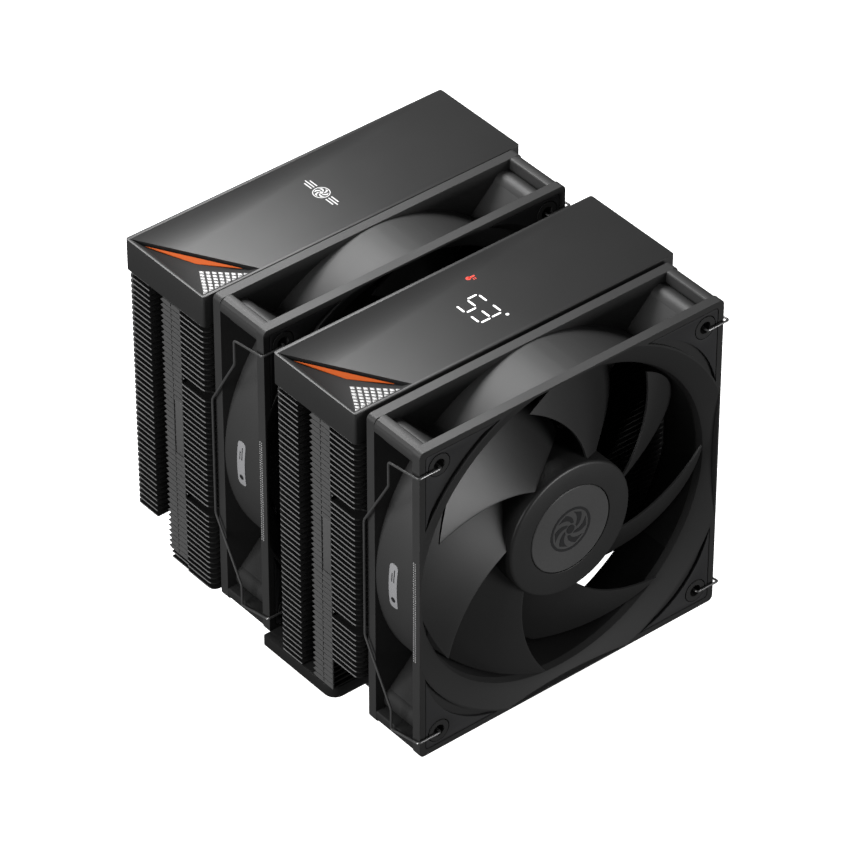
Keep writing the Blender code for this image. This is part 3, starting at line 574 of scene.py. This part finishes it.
def build_side_dots(fan):
    """Two columns of small raised dots on the left edge of the front flange."""
    count, pitch, lowest = 44, 0.9, 76 - FAN_PLACE[fan].z / MM
    dots = []
    for i in range(count):
        for across in (2.05, 2.85):
            bm = bmesh.new()
            bmesh.ops.create_cone(bm, cap_ends=True, segments=8, radius1=0.27, radius2=0.2,
                                  depth=0.16)
            height = lowest + pitch * i
            dots.append(moved(bm, (-HALF_FAN - 0.04, across, height), -90))
    keep(to_object(fan + "_side_dots", join(dots), DOTS), "cooler", FAN_PLACE[fan])


def curved_patch(radius, thickness, middle, half_width, half_length, corner, steps=28):
    """A rounded patch bent round the duct's left side, at middle from the front face."""
    bm = bmesh.new()
    rows = []
    for i in range(steps + 1):
        along = half_length * math.sin(math.pi * (i / steps - 0.5))
        over = max(abs(along) - (half_length - corner), 0)
        width = half_width - corner + math.sqrt(max(corner ** 2 - over ** 2, 0.0004))
        turn = math.pi + along / radius
        for r in (radius, radius + thickness):
            for y in (middle - width, middle + width):
                rows.append(bm.verts.new((r * math.cos(turn), y, r * math.sin(turn))))
    for i in range(steps):
        a, b = rows[4 * i:4 * i + 4], rows[4 * i + 4:4 * i + 8]
        for k, m in ((0, 1), (1, 3), (3, 2), (2, 0)):
            bm.faces.new((a[k], a[m], b[m], b[k]))
    for end in (rows[:4], rows[-4:]):
        bm.faces.new((end[0], end[1], end[3], end[2]))
    return outward(bm)


def build_label(fan):
    """A small blank label on the duct's left side, with a plain dot and bars as its marking."""
    middle, thickness, ink = 13.2, 0.2, 0.05
    surface = DUCT_OUTER + thickness
    turn = 0.5 / DUCT_OUTER * 180 / math.pi
    label = moved(curved_patch(DUCT_OUTER, thickness, middle, 1.9, 8.5, 1.4), turn=turn)
    keep(to_object(fan + "_label", label, LABEL), "cooler", FAN_PLACE[fan])
    marks = [moved(curved_patch(surface, ink, middle, 0.95, 0.95, 0.9, 10), turn=turn - 5),
             moved(curved_patch(surface, ink, middle - 0.5, 0.18, 2.4, 0.1, 10), turn=turn + 4),
             moved(curved_patch(surface, ink, middle + 0.5, 0.18, 1.6, 0.1, 10), turn=turn + 3.2)]
    keep(to_object(fan + "_label_marks", join(marks), BADGE_MARK), "cooler",
         FAN_PLACE[fan])


def blade_point(across, along):
    """A point on a blade's middle surface: across 0 hub to 1 tip, along 0 leading to 1 trailing."""
    radius = (HUB_RADIUS - 1.2) * (1 - across) + TIP_RADIUS * across
    leading = math.radians(-33.5 + 38 * across ** 0.85)
    chord = math.radians(56 - 12 * across)
    turn = leading - chord * along
    depth = 2.6 - 0.6 * across + (16.5 - 1.5 * across) * (0.8 * along + 0.2 * along ** 2)
    return Vector((radius * math.cos(turn), depth, radius * math.sin(turn)))


def build_blade(across_steps=20, along_steps=28, thickness=1.3):
    """One blade, thickest in the middle of its chord and thin at both edges."""
    bm = bmesh.new()
    sides = ([], [])
    step = 0.001
    for i in range(across_steps + 1):
        for k in range(along_steps + 1):
            u = i / across_steps
            v = (1 - math.cos(math.pi * k / along_steps)) / 2
            here = blade_point(u, v)
            du = blade_point(min(u + step, 1), v) - blade_point(max(u - step, 0.0001), v)
            dv = blade_point(u, v + step) - blade_point(u, v - step)
            normal = du.cross(dv).normalized()
            thick = thickness * (0.45 + 0.55 * math.sqrt(math.sin(math.pi * v)))
            for side, sign in zip(sides, (-1, 1)):
                side.append(bm.verts.new(here + normal * thick / 2 * sign))
    row = along_steps + 1
    for side in sides:
        for i in range(across_steps):
            for k in range(along_steps):
                a = i * row + k
                bm.faces.new((side[a], side[a + 1], side[a + row + 1], side[a + row]))
    front, back = sides
    edge = list(range(row))
    edge += [i * row + along_steps for i in range(1, across_steps + 1)]
    edge += [across_steps * row + k for k in range(along_steps - 1, -1, -1)]
    edge += [i * row for i in range(across_steps - 1, 0, -1)]
    for a, b in zip(edge, edge[1:] + edge[:1]):
        bm.faces.new((front[a], front[b], back[b], back[a]))
    return outward(bm)


def build_impeller(fan):
    """The hub cup, its shallow recess for the badge, and the swept blades."""
    recess, seat = BADGE_RADIUS + 0.3, 1.3
    inside, ceiling = HUB_RADIUS - 2, 2.9
    cup = to_object(fan + "_rotor_shell", turned([
        (0, seat), (recess, seat), (recess, 0.62), (recess + 0.15, HUB_FRONT),
        (HUB_RADIUS - 1.1, HUB_FRONT), (HUB_RADIUS - 0.5, 0.68), (HUB_RADIUS - 0.15, 1.05),
        (HUB_RADIUS, 1.6), (HUB_RADIUS, HUB_BACK), (inside, HUB_BACK), (inside, ceiling),
        (0, ceiling)], 128), BLADE_PLASTIC)
    boolean(cup, [moved(build_blade(), turn=360 * i / BLADES) for i in range(BLADES)], "UNION")
    keep(cup, fan + "_rotor", FAN_PLACE[fan], [fan + "_impeller"])


def pictogram(radius, thickness, blades=6):
    """A plain fan sign, lying flat: a ring, a hub and slim swept blades between them."""
    parts = [slab([circle(radius, 48), circle(radius * 0.89, 48)], 0, thickness),
             slab([circle(radius * 0.2, 24)], 0, thickness)]
    shares = [k / 6 for k in range(7)]
    for i in range(blades):
        first = 360 * i / blades
        leading = [polar(radius * (0.28 + 0.52 * t), first + 48 * t) for t in shares]
        trailing = [polar(radius * (0.28 + 0.52 * t), first + 26 + 54 * t)
                    for t in reversed(shares)]
        parts.append(slab([leading + trailing], 0, thickness))
    return join(parts)


def build_badge(fan):
    """The turned disc on the hub, with a plain fan sign on it."""
    badge = turned([(0, HUB_FRONT), (BADGE_RADIUS - 0.25, HUB_FRONT), (BADGE_RADIUS, HUB_FRONT + 0.2),
                    (BADGE_RADIUS, 1.25), (0, 1.25)], 96)
    keep(to_object(fan + "_badge_disc", badge, BADGE), fan + "_rotor", FAN_PLACE[fan],
         [fan + "_hub_badge"])
    sign = moved(pictogram(8.0, 0.08), turn=90, axis="X")
    keep(to_object(fan + "_badge_sign", moved(sign, (0, HUB_FRONT - 0.02, 0)), BADGE_MARK),
         fan + "_rotor", FAN_PLACE[fan])


def build_clip(fan, word, side):
    """The bent wire that holds a fan to its tower, hooked in the two screw holes of one side."""
    hole, reach, face = side * HOLE_OFFSET, side * CLIP_REACH, -0.95
    upper, lower = HOLE_OFFSET - 0.6, -HOLE_OFFSET
    route = [(hole, 4, upper), (hole, face, upper), (reach, face, upper), (reach, 13.1, upper - 2),
             (reach, 13.1, upper - 11.2), (reach, 25, 20), (reach, 25, -25.6), (reach, 12.4, lower + 5),
             (reach, 12.4, lower - 3), (reach, face, lower), (hole, face, lower), (hole, 4, lower)]
    wire = tube(rounded_path(route, 1.0), CLIP_WIRE_RADIUS)
    body = f"{fan}_clip_{word}"
    keep(to_object(body + "_wire", wire, CLIP_STEEL), body, FAN_PLACE[fan], [body])


def build_fan(fan):
    """Everything that shows of one fan."""
    build_frame(fan)
    build_pads(fan)
    build_side_dots(fan)
    build_label(fan)
    build_impeller(fan)
    build_badge(fan)
    for word, side in (("left", -1), ("right", 1)):
        build_clip(fan, word, side)


# ---------------------------------------------------------------- towers

def fin_outline(near, far, notched):
    """One fin: rounded corners, the deep recess behind the folded wall, and clip notches."""
    w = FIN_HALF_WIDTH
    half = []
    if near == NEAR_SIDE[0]:
        edge = w - 3.2 if notched else w
        half += [(edge, near, 2.6)]
        if notched:
            half += [(edge, NEAR_SIDE[1] - 0.6, 0), (w - 0.45, NEAR_SIDE[1] - 0.6, 0)]
        else:
            half += [(w, NEAR_SIDE[1], 0), (w - 0.45, NEAR_SIDE[1], 0)]
    else:
        half += [(w - 0.45, near, 0)]
    half += [(w - 0.45, WALL_SIDE[1], 0)]
    if far > FAR_SIDE[0]:
        half += [(RECESS_X, WALL_SIDE[1], 1), (RECESS_X, FAR_SIDE[0], 1), (w, FAR_SIDE[0], 0.4),
                 (w, far, 1.8)]
    other = [(-x, y, r) for x, y, r in reversed(half)]
    return rounded(half + other, 4)


def fin_heights():
    """The underside of each fin, from the top one down."""
    count = int((FIN_TOP - FIN_THICKNESS - FIN_BOTTOM) / FIN_PITCH) + 1
    return [FIN_TOP - FIN_THICKNESS - FIN_PITCH * i for i in range(count)]


def wall_flap(height, side):
    """One fin's folded edge: two leaves joined by a narrow bridge, and a pointed tooth behind."""
    inner, outer = FIN_HALF_WIDTH - 0.5, FIN_HALF_WIDTH
    low, high = height, height + FIN_PITCH - 0.28
    in_panel = PANEL_HEIGHTS[0] - 0.9 < height < PANEL_HEIGHTS[1] - 1.0
    parts = [block((inner, -1.95, low), (outer, 1.9, high))]
    if not in_panel:
        parts.append(block((inner, WALL_SIDE[0], low), (outer, -2.3, high)))
        parts.append(block((inner, -2.3, low), (outer, -1.95, low + 0.6)))
    tooth = [(x, y, z) for x in (inner, outer)
             for y, z in ((1.9, low + 0.1), (1.9, high - 0.1), (WALL_SIDE[1] + 0.9, low + 0.5))]
    parts.append(hull(tooth))
    return mirrored(join(parts), side)


def build_fins(tower):
    """About fifty thin fins with their outer edges painted light grey as a highlight, and the walls
    folded up from their sides.
    """
    holes = [circle(PIPE_RADIUS + 0.15, 16, (x, 0)) for x in PIPE_XS]
    shapes = {}
    fins, flaps = [], []
    for height in fin_heights():
        near, far = NEAR_SIDE[0], FAR_SIDE[1]
        if height < OUTER_BOTTOM:
            near = NEAR_SIDE[1] if tower == "front" else near
            far = WALL_SIDE[1] if tower == "rear" else far
        notched = any(abs(height - notch) < FIN_PITCH / 2 for notch in NOTCH_HEIGHTS)
        shape = (near, far, notched)
        if shape not in shapes:
            shapes[shape] = slab([fin_outline(*shape)] + holes, 0, FIN_THICKNESS)
        fins.append(moved(shapes[shape].copy(), (0, 0, height)))
        if not (tower == "rear" and height < 43.2):
            flaps += [wall_flap(height, side) for side in (-1, 1)]
    for bm in shapes.values():
        bm.free()
    stack = to_object(tower + "_fins", join(fins), FIN_BLACK_AND_SHADE, 50)
    stack.data.materials.append(FIN_EDGE_HIGHLIGHT)
    # Flat outer edge faces take the light grey painted highlight; the rounded corners stay black.
    for face in stack.data.polygons:
        outer = abs(face.center.x) > (FIN_HALF_WIDTH - 2.5) * MM and abs(face.normal.x) > 0.85
        face.material_index = 1 if outer else 0
    keep(stack, "cooler", (0, TOWER_Y[tower], 0), [tower + "_fin_stack"])
    inner, outer = FIN_HALF_WIDTH - 0.5, FIN_HALF_WIDTH + 0.12
    for side in (-1, 1):
        panel = block((inner, WALL_SIDE[0], PANEL_HEIGHTS[0] + 0.35),
                      (outer, -2.75, PANEL_HEIGHTS[1] - 0.35), 0.1)
        flaps.append(mirrored(panel, side))
    walls = to_object(tower + "_fin_walls", join(flaps), FIN_WALL)
    keep(walls, "cooler", (0, TOWER_Y[tower], 0))


def build_pipes():
    """Six U-shaped pipes: down the rear tower, through the base and up the front tower."""
    for i, tower_x in enumerate(PIPE_XS):
        start = Vector(((i - 2.5) * PIPE_BASE_PITCH, 20.5, PIPE_LEVEL))
        end = Vector((tower_x, TOWER_Y["rear"] / MM, 41))
        start_pull, end_pull = Vector((0, 34, 0)), Vector((0, 0, 52))
        half = [start]
        for k in range(1, 25):
            t = k / 24
            half.append(start * (2 * t ** 3 - 3 * t ** 2 + 1) + start_pull * (t ** 3 - 2 * t ** 2 + t)
                        + end * (3 * t ** 2 - 2 * t ** 3) + end_pull * (t ** 3 - t ** 2))
        half.append(Vector((tower_x, end.y, FIN_TOP - 0.5)))
        front = [Vector((p.x, -p.y, p.z)) for p in reversed(half)]
        name = f"heat_pipe_{i + 1}"
        keep(to_object(name + "_tube", tube(front + half, PIPE_RADIUS, 6), PIPE_METAL), "cooler",
             nodes=[name])


def build_bottom_plate():
    """The plate under the front tower, with two round corners in front and holes for the pipes."""
    low, high = corner_mm("front_bottom_plate", 0), corner_mm("front_bottom_plate", 1)
    outline = rounded([(high.x, low.y, 4), (high.x, high.y, 0), (low.x, high.y, 0),
                       (low.x, low.y, 4)])
    holes = [circle(PIPE_RADIUS + 2, 20, (x, TOWER_Y["front"] / MM + 1.5)) for x in PIPE_XS]
    keep(to_object("front_bottom_plate_sheet", slab([outline] + holes, low.z, high.z, 0.35), PLATE_SATIN),
         "cooler", nodes=["front_bottom_plate"])


# ---------------------------------------------------------------- top covers

RECESS_BACK = Vector((-62.1, 18.4, 0))
RECESS_FRONT = Vector((-62.1, -18.75, 0))
RECESS_RIGHT = Vector((-40.3, -18.8, 0))
RECESS_PIT = Vector((-54.3, -5.3, -2.0))


def recess_solid():
    """The sunk triangle in a cover's left end, with a steep wall along its slanted side."""
    points = [RECESS_BACK, RECESS_FRONT, RECESS_RIGHT, RECESS_PIT]
    for share in (0.08, 0.93):
        foot = RECESS_BACK.lerp(RECESS_RIGHT, share)
        points.append(foot + Vector((0, 0, -1.2)))
    points += [p + Vector((0, 0, 1)) for p in (RECESS_BACK, RECESS_FRONT, RECESS_RIGHT)]
    return hull([p + Vector((0, 0, COVER_TOP)) for p in points])


def build_cover(tower):
    """A cover hollowed from below, with the sunk triangle in its left end."""
    cover = to_object(tower + "_cover", slab([rounded_box(COVER_HALF, COVER_DEPTH / 2, 1.0)],
                                             COVER_BOTTOM, COVER_TOP, 0.35), COVER_SATIN)
    right, back = COVER_HALF - COVER_WALL, COVER_DEPTH / 2 - COVER_WALL
    inside = rounded([(right, back, 1), (-COVER_HALF + 2.4, back, 1),
                      (-COVER_HALF + 24.5, -back, 1), (right, -back, 1)])
    boolean(cover, [slab([inside], COVER_BOTTOM - 1, COVER_TOP - 1.8), recess_solid()], "DIFFERENCE")
    cover.data.materials.append(RECESS_SATIN)
    cover.data.materials.append(FIN_BLACK_AND_SHADE)
    slant = (RECESS_RIGHT - RECESS_BACK).normalized()
    for face in cover.data.polygons:
        sunk = face.center.z < (COVER_TOP - 0.3) * MM and face.area > 4e-6
        if sunk and 0.3 < face.normal.z < 0.999:
            face.material_index = 1
        # The steep slanted wall takes the near-black fin finish as painted shade.
        off_wall = (face.center / MM - RECESS_BACK).cross(slant)
        if abs(off_wall.z) < 0.3 and abs(face.normal.z) < 0.3:
            face.material_index = 2
    keep(cover, "cooler", (0, TOWER_Y[tower], 0), [tower + "_top_cover"])


def build_insert(tower):
    """Rows of small bright pyramids on the recess's front facet."""
    column, row = Vector((1.235, -1.63, 0)), Vector((-0.975, -1.60, 0))
    rows, stud_height = 8, 0.34
    across = RECESS_RIGHT - RECESS_FRONT
    normal = across.cross(RECESS_PIT - RECESS_FRONT).normalized()
    normal = normal if normal.z > 0 else -normal

    def on_facet(point, lift):
        drop = (point - RECESS_FRONT).dot(Vector((normal.x, normal.y, 0))) / normal.z
        return Vector((point.x, point.y, COVER_TOP - drop)) + normal * lift

    start = RECESS_PIT + (column + row) * 0.12
    studs = []
    for i in range(rows):
        for j in range(rows - i):
            corner = start + column * i + row * j
            ring = [corner, corner + column, corner + column + row, corner + row]
            if i + j == rows - 1:
                ring = [corner, corner + column, corner + row]
            middle = sum(ring, Vector()) / len(ring)
            ring = [middle + (p - middle) * 0.68 for p in ring]
            foot = [on_facet(p, -0.2) for p in ring]
            shoulder = [on_facet(p, 0.04) for p in ring]
            studs.append(hull(foot + shoulder + [on_facet(middle, stud_height)]))
    insert = to_object(tower + "_insert_studs", join(studs), SILVER, 15)
    keep(insert, "cooler", (0, TOWER_Y[tower], 0), [tower + "_textured_insert"])
    bed = [RECESS_PIT + Vector((0.1, -0.5, 0)), start + row * 8.1, start + column * 8.1]
    base = hull([on_facet(p, lift) for p in bed for lift in (-0.3, 0.05)])
    keep(to_object(tower + "_insert_bed", base, INSERT_BASE), "cooler",
         (0, TOWER_Y[tower], 0))


def build_accent(tower):
    """The slim orange blade beside the recess's slanted wall."""
    outline = [(-60.0, 13.3, -1.1), (-51.6, -1.0, -1.35), (-43.8, -14.4, -1.1), (-48.6, -8.0, -1.6),
               (-52.9, -2.9, -1.75), (-55.7, 3.6, -1.65)]
    points = [Vector((x, y, COVER_TOP + z)) for x, y, z in outline]
    blade = hull(points + [p + Vector((0, 0, 0.2)) for p in points])
    keep(to_object(tower + "_accent", blade, ORANGE), "cooler", (0, TOWER_Y[tower], 0),
         [tower + "_accent_blade"])


def build_digits():
    """The number 53 in seven-segment bars, its degree dot, and a plain thermometer sign."""
    half, width = 1.85, 0.33
    level = (COVER_TOP - 0.1, COVER_TOP + 0.03)

    def bar(x, y, along_x):
        outline = [(-half, 0), (-half + width, width), (half - width, width), (half, 0),
                   (half - width, -width), (-half + width, -width)]
        return slab([[(x + a, y + b) if along_x else (x + b, y + a) for a, b in outline]], *level)

    five = [(0.9, -34.1, True), (3.1, -36.6, False), (-1.3, -36.5, False), (-5.8, -36.7, False),
            (-3.5, -39.1, True)]
    three = [(3.2, -43.1, False), (-1.3, -43.2, False), (-5.6, -43.3, False), (-3.4, -45.8, True),
             (0.9, -45.7, True)]
    parts = [bar(*segment) for segment in five + three]
    parts.append(slab([circle(0.55, 16, (3.6, -47.6))], *level))
    keep(to_object("display_digits", join(parts), DIGIT), "cooler")
    bulb = slab([circle(0.85, 20, (5.9, -26.2))], *level)
    stem = slab([rounded([(8.4, -25.85, 0.3), (5.9, -25.85, 0), (5.9, -26.55, 0),
                          (8.4, -26.55, 0.3)])], *level)
    ticks = [slab([[(x, -27.0), (x + 0.3, -27.0), (x + 0.3, -27.9), (x, -27.9)]], *level)
             for x in (6.9, 7.6)]
    keep(to_object("display_thermometer", join([bulb, stem] + ticks), SIGN_RED), "cooler")


def build_emblem():
    """A plain printed fan sign with three lines on each side, on the rear cover."""
    ink, start, half_line = 0.05, 3.6, 0.22
    parts = [pictogram(2.9, ink)]
    for side in (-1, 1):
        for offset, length in ((-1.1, 3.6), (0, 4.6), (1.1, 3.6)):
            near, far = side * start, side * (start + length)
            low, high = offset - half_line, offset + half_line
            parts.append(slab([[(low, near), (high, near), (high, far), (low, far)]], 0, ink))
    place = (-1.3 * MM, TOWER_Y["rear"], (COVER_TOP - 0.02) * MM)
    keep(to_object("rear_cover_sign", join(parts), PRINT), "cooler", place)


# ---------------------------------------------------------------- base and mounting

def build_base():
    """Cold plate and base block with round grooves for the pipes between them."""
    groove = PIPE_RADIUS + 0.12
    xs = [(i - 2.5) * PIPE_BASE_PITCH for i in range(len(PIPE_XS))]
    low, high = corner_mm("cold_plate", 0), corner_mm("cold_plate", 1)
    top = []
    for x in reversed(xs):
        top += arc(groove, 0, -180, 12, (x, PIPE_LEVEL))
    outline = [(low.x, high.z), (low.x, low.z), (high.x, low.z), (high.x, high.z)] + top
    plate = slab([outline], low.y, high.y, 0.3, upright=True)
    keep(to_object("cold_plate_block", plate, COPPER), "cooler", nodes=["cold_plate"])
    low, high = corner_mm("base_block", 0), corner_mm("base_block", 1)
    under = []
    start = math.degrees(math.asin((low.z - PIPE_LEVEL) / groove))
    for x in xs:
        under += arc(groove, 180 - start, start, 12, (x, PIPE_LEVEL))
    outline = [(high.x, low.z), (high.x, high.z), (low.x, high.z), (low.x, low.z)] + under
    base = to_object("base_block_body", slab([outline], low.y, high.y, 0.4, upright=True), ALUMINIUM)
    holes = [moved(slab([circle(1.8, 20)], 12.6, 20), (side * BAR_SCREW_X, 0, 0))
             for side in (-1, 1)]
    boolean(base, holes, "DIFFERENCE")
    keep(base, "cooler", nodes=["base_block"])


def build_mounting():
    """The bar across the base, its two screws, and the sprung screws at its ends."""
    low, high = corner_mm("mounting_bar", 0), corner_mm("mounting_bar", 1)
    screw_x = (corner_mm("spring_screw_right", 0).x + corner_mm("spring_screw_right", 1).x) / 2
    outline = rounded_box(high.x, high.y, 5)
    holes = [circle(2.6, 28, (side * screw_x, 0)) for side in (-1, 1)]
    holes += [circle(1.85, 24, (side * BAR_SCREW_X, 0)) for side in (-1, 1)]
    keep(to_object("mounting_bar_plate", slab([outline] + holes, low.z, high.z, 0.35), DARK_STEEL),
         "cooler", nodes=["mounting_bar"])
    for word, side in (("left", -1), ("right", 1)):
        build_bar_screw(f"bar_screw_{word}", side * BAR_SCREW_X)
        build_sprung_screw(word, side * screw_x)


def build_bar_screw(name, x):
    """A pan-head screw with a hexagon socket."""
    head = corner_mm(name, 1).z - 2
    foot = corner_mm(name, 0).z
    screw = to_object(name + "_metal", turned([
        (0, foot), (0, head + 2), (1.9, head + 2), (2.4, head + 1.8), (2.7, head + 1.3),
        (2.8, head + 0.7), (2.8, head), (1.5, head), (1.5, foot + 0.4), (1.1, foot)],
        40, axis="Z"), STEEL)
    boolean(screw, [slab([circle(1.3, 6)], head + 0.8, head + 4)], "DIFFERENCE")
    keep(screw, "cooler", (x * MM, 0, 0), [name])


def build_sprung_screw(word, x):
    """A thumb screw with a cross slot and a threaded end, and the spring under its head."""
    name = f"spring_screw_{word}"
    tip, top = corner_mm(name, 0).z, corner_mm(name, 1).z
    head = top - 5.4
    profile = [(0, tip), (0, top), (3.6, top), (4.4, top - 0.3), (4.8, top - 1), (4.8, head + 0.3),
               (4.5, head), (1.9, head), (1.9, tip + 7)]
    for i in range(10):
        profile += [(1.55, tip + 6.7 - 0.6 * i), (1.9, tip + 6.4 - 0.6 * i)]
    profile += [(1.5, tip + 0.7), (1.3, tip)]
    screw = to_object(name + "_metal", turned(profile, 48, axis="Z"), STEEL)
    slots = [block((-a, -b, top - 2.6), (a, b, top + 5)) for a, b in ((3.2, 0.55), (0.55, 3.2))]
    boolean(screw, slots, "DIFFERENCE")
    keep(screw, name, (x * MM, 0, 0), [name])
    low, high = corner_mm(f"screw_spring_{word}", 0), corner_mm(f"screw_spring_{word}", 1)
    wire, turns, around = 0.45, 4, 24
    bottom, travel = low.z + wire, high.z - low.z - 2 * wire
    coil = [(3.5 * math.cos(2 * math.pi * i / around), 3.5 * math.sin(2 * math.pi * i / around),
             bottom + travel * i / (turns * around)) for i in range(turns * around + 1)]
    spring = to_object(f"screw_spring_{word}_coil", moved(tube(coil, wire, 3), (x, 0, 0)), STEEL)
    keep(spring, "cooler", nodes=[f"screw_spring_{word}"])
    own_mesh(spring)


# ---------------------------------------------------------------- CAD nodes that stay

def dress_cad_nodes():
    """The hidden and small parts whose CAD shape is right get their finish."""
    finishes = {"shaft": STEEL, "bearing": BRASS, "magnet_ring": MAGNET, "stator": STATOR,
                "motor_board": BOARD}
    for fan in FANS:
        for part, finish in finishes.items():
            dress(f"{fan}_{part}", finish)
    dress("display_light_guide", LENS)
    dress("display_board", BOARD)
    for word in ("left", "right"):
        dress(f"screw_clip_{word}", STEEL)


def dress(node, finish):
    """Gives a CAD node that stays its finish."""
    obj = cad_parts[node]
    if not obj.data.materials:
        obj.data.materials.append(finish)
    for slot in obj.material_slots:
        slot.material = finish


# ---------------------------------------------------------------- stage, light and camera

def build_stage():
    """A plain white floor that only the camera sees, and a white world."""
    bm = bmesh.new()
    half_size = 3000
    bmesh.ops.create_grid(bm, x_segments=1, y_segments=1, size=half_size)
    paper = bpy.data.materials.new("floor_white")
    paper.use_nodes = True
    shader = paper.node_tree.nodes["Principled BSDF"]
    shader.inputs["Base Color"].default_value = (0.9, 0.9, 0.9, 1)
    shader.inputs["Emission Color"].default_value = (1, 1, 1, 1)
    shader.inputs["Emission Strength"].default_value = 1.0
    floor = to_object("floor", bm, paper)
    floor.location.z = cad_box[0][2] - 0.002
    floor.visible_diffuse = False
    floor.visible_glossy = False
    floor.visible_shadow = False
    floor.visible_transmission = False
    world = bpy.data.worlds.new("studio")
    world.use_nodes = True
    nodes, links = world.node_tree.nodes, world.node_tree.links
    background = nodes["Background"]
    background.inputs["Color"].default_value = (1, 1, 1, 1)
    background.inputs["Strength"].default_value = 0.09
    white = nodes.new("ShaderNodeBackground")
    white.inputs["Color"].default_value = (1, 1, 1, 1)
    choose = nodes.new("ShaderNodeMixShader")
    path = nodes.new("ShaderNodeLightPath")
    links.new(path.outputs["Is Camera Ray"], choose.inputs["Fac"])
    links.new(background.outputs[0], choose.inputs[1])
    links.new(white.outputs[0], choose.inputs[2])
    links.new(choose.outputs[0], nodes["World Output"].inputs["Surface"])
    scene.world = world


def build_light(name, place, target, size, power):
    """A rectangular lamp at a place, facing a target."""
    light = bpy.data.lights.new(name, "AREA")
    light.shape = "RECTANGLE"
    light.size, light.size_y = size
    light.energy = power
    lamp = bpy.data.objects.new(name, light)
    lamp.location = place
    lamp.rotation_euler = (Vector(target) - Vector(place)).to_track_quat("-Z", "Y").to_euler()
    scene.collection.objects.link(lamp)


def build_lights():
    """Soft boxes on the left, behind, over the covers and in front."""
    build_light("left_softbox", (-0.80, 0.02, 0.42), (0, 0, 0.1), (0.5, 0.5), 6.5)
    build_light("back_softbox", (0.03, 0.27, 0.56), (0, 0, 0.14), (0.30, 0.20), 2.4)
    build_light("sheen_softbox", (0.13, 0.33, 0.44), (-0.06, 0, 0.158), (0.15, 0.15), 0.5)
    build_light("front_softbox", (0.34, -0.95, 0.20), (0, 0, 0.1), (0.40, 0.36), 5)


def build_camera():
    """A long lens that looks down on the front left corner."""
    data = bpy.data.cameras.new("camera")
    data.lens = 241.4
    data.sensor_width = 36
    data.clip_end = 20
    camera = bpy.data.objects.new("camera", data)
    camera.location = (-0.8855, -1.0959, 1.2115)
    turn, drop = math.radians(-39.26), math.radians(38.58)
    ahead = Vector((-math.sin(turn) * math.cos(drop), math.cos(turn) * math.cos(drop), -math.sin(drop)))
    camera.rotation_euler = ahead.to_track_quat("-Z", "Y").to_euler()
    scene.collection.objects.link(camera)
    scene.camera = camera


for each_fan in FANS:
    build_fan(each_fan)
for each_tower in TOWERS:
    build_fins(each_tower)
    build_cover(each_tower)
    build_insert(each_tower)
    build_accent(each_tower)
build_digits()
build_emblem()
build_pipes()
build_bottom_plate()
build_base()
build_mounting()
dress_cad_nodes()
build_stage()
build_lights()
build_camera()
scene.view_settings.view_transform = "Standard"
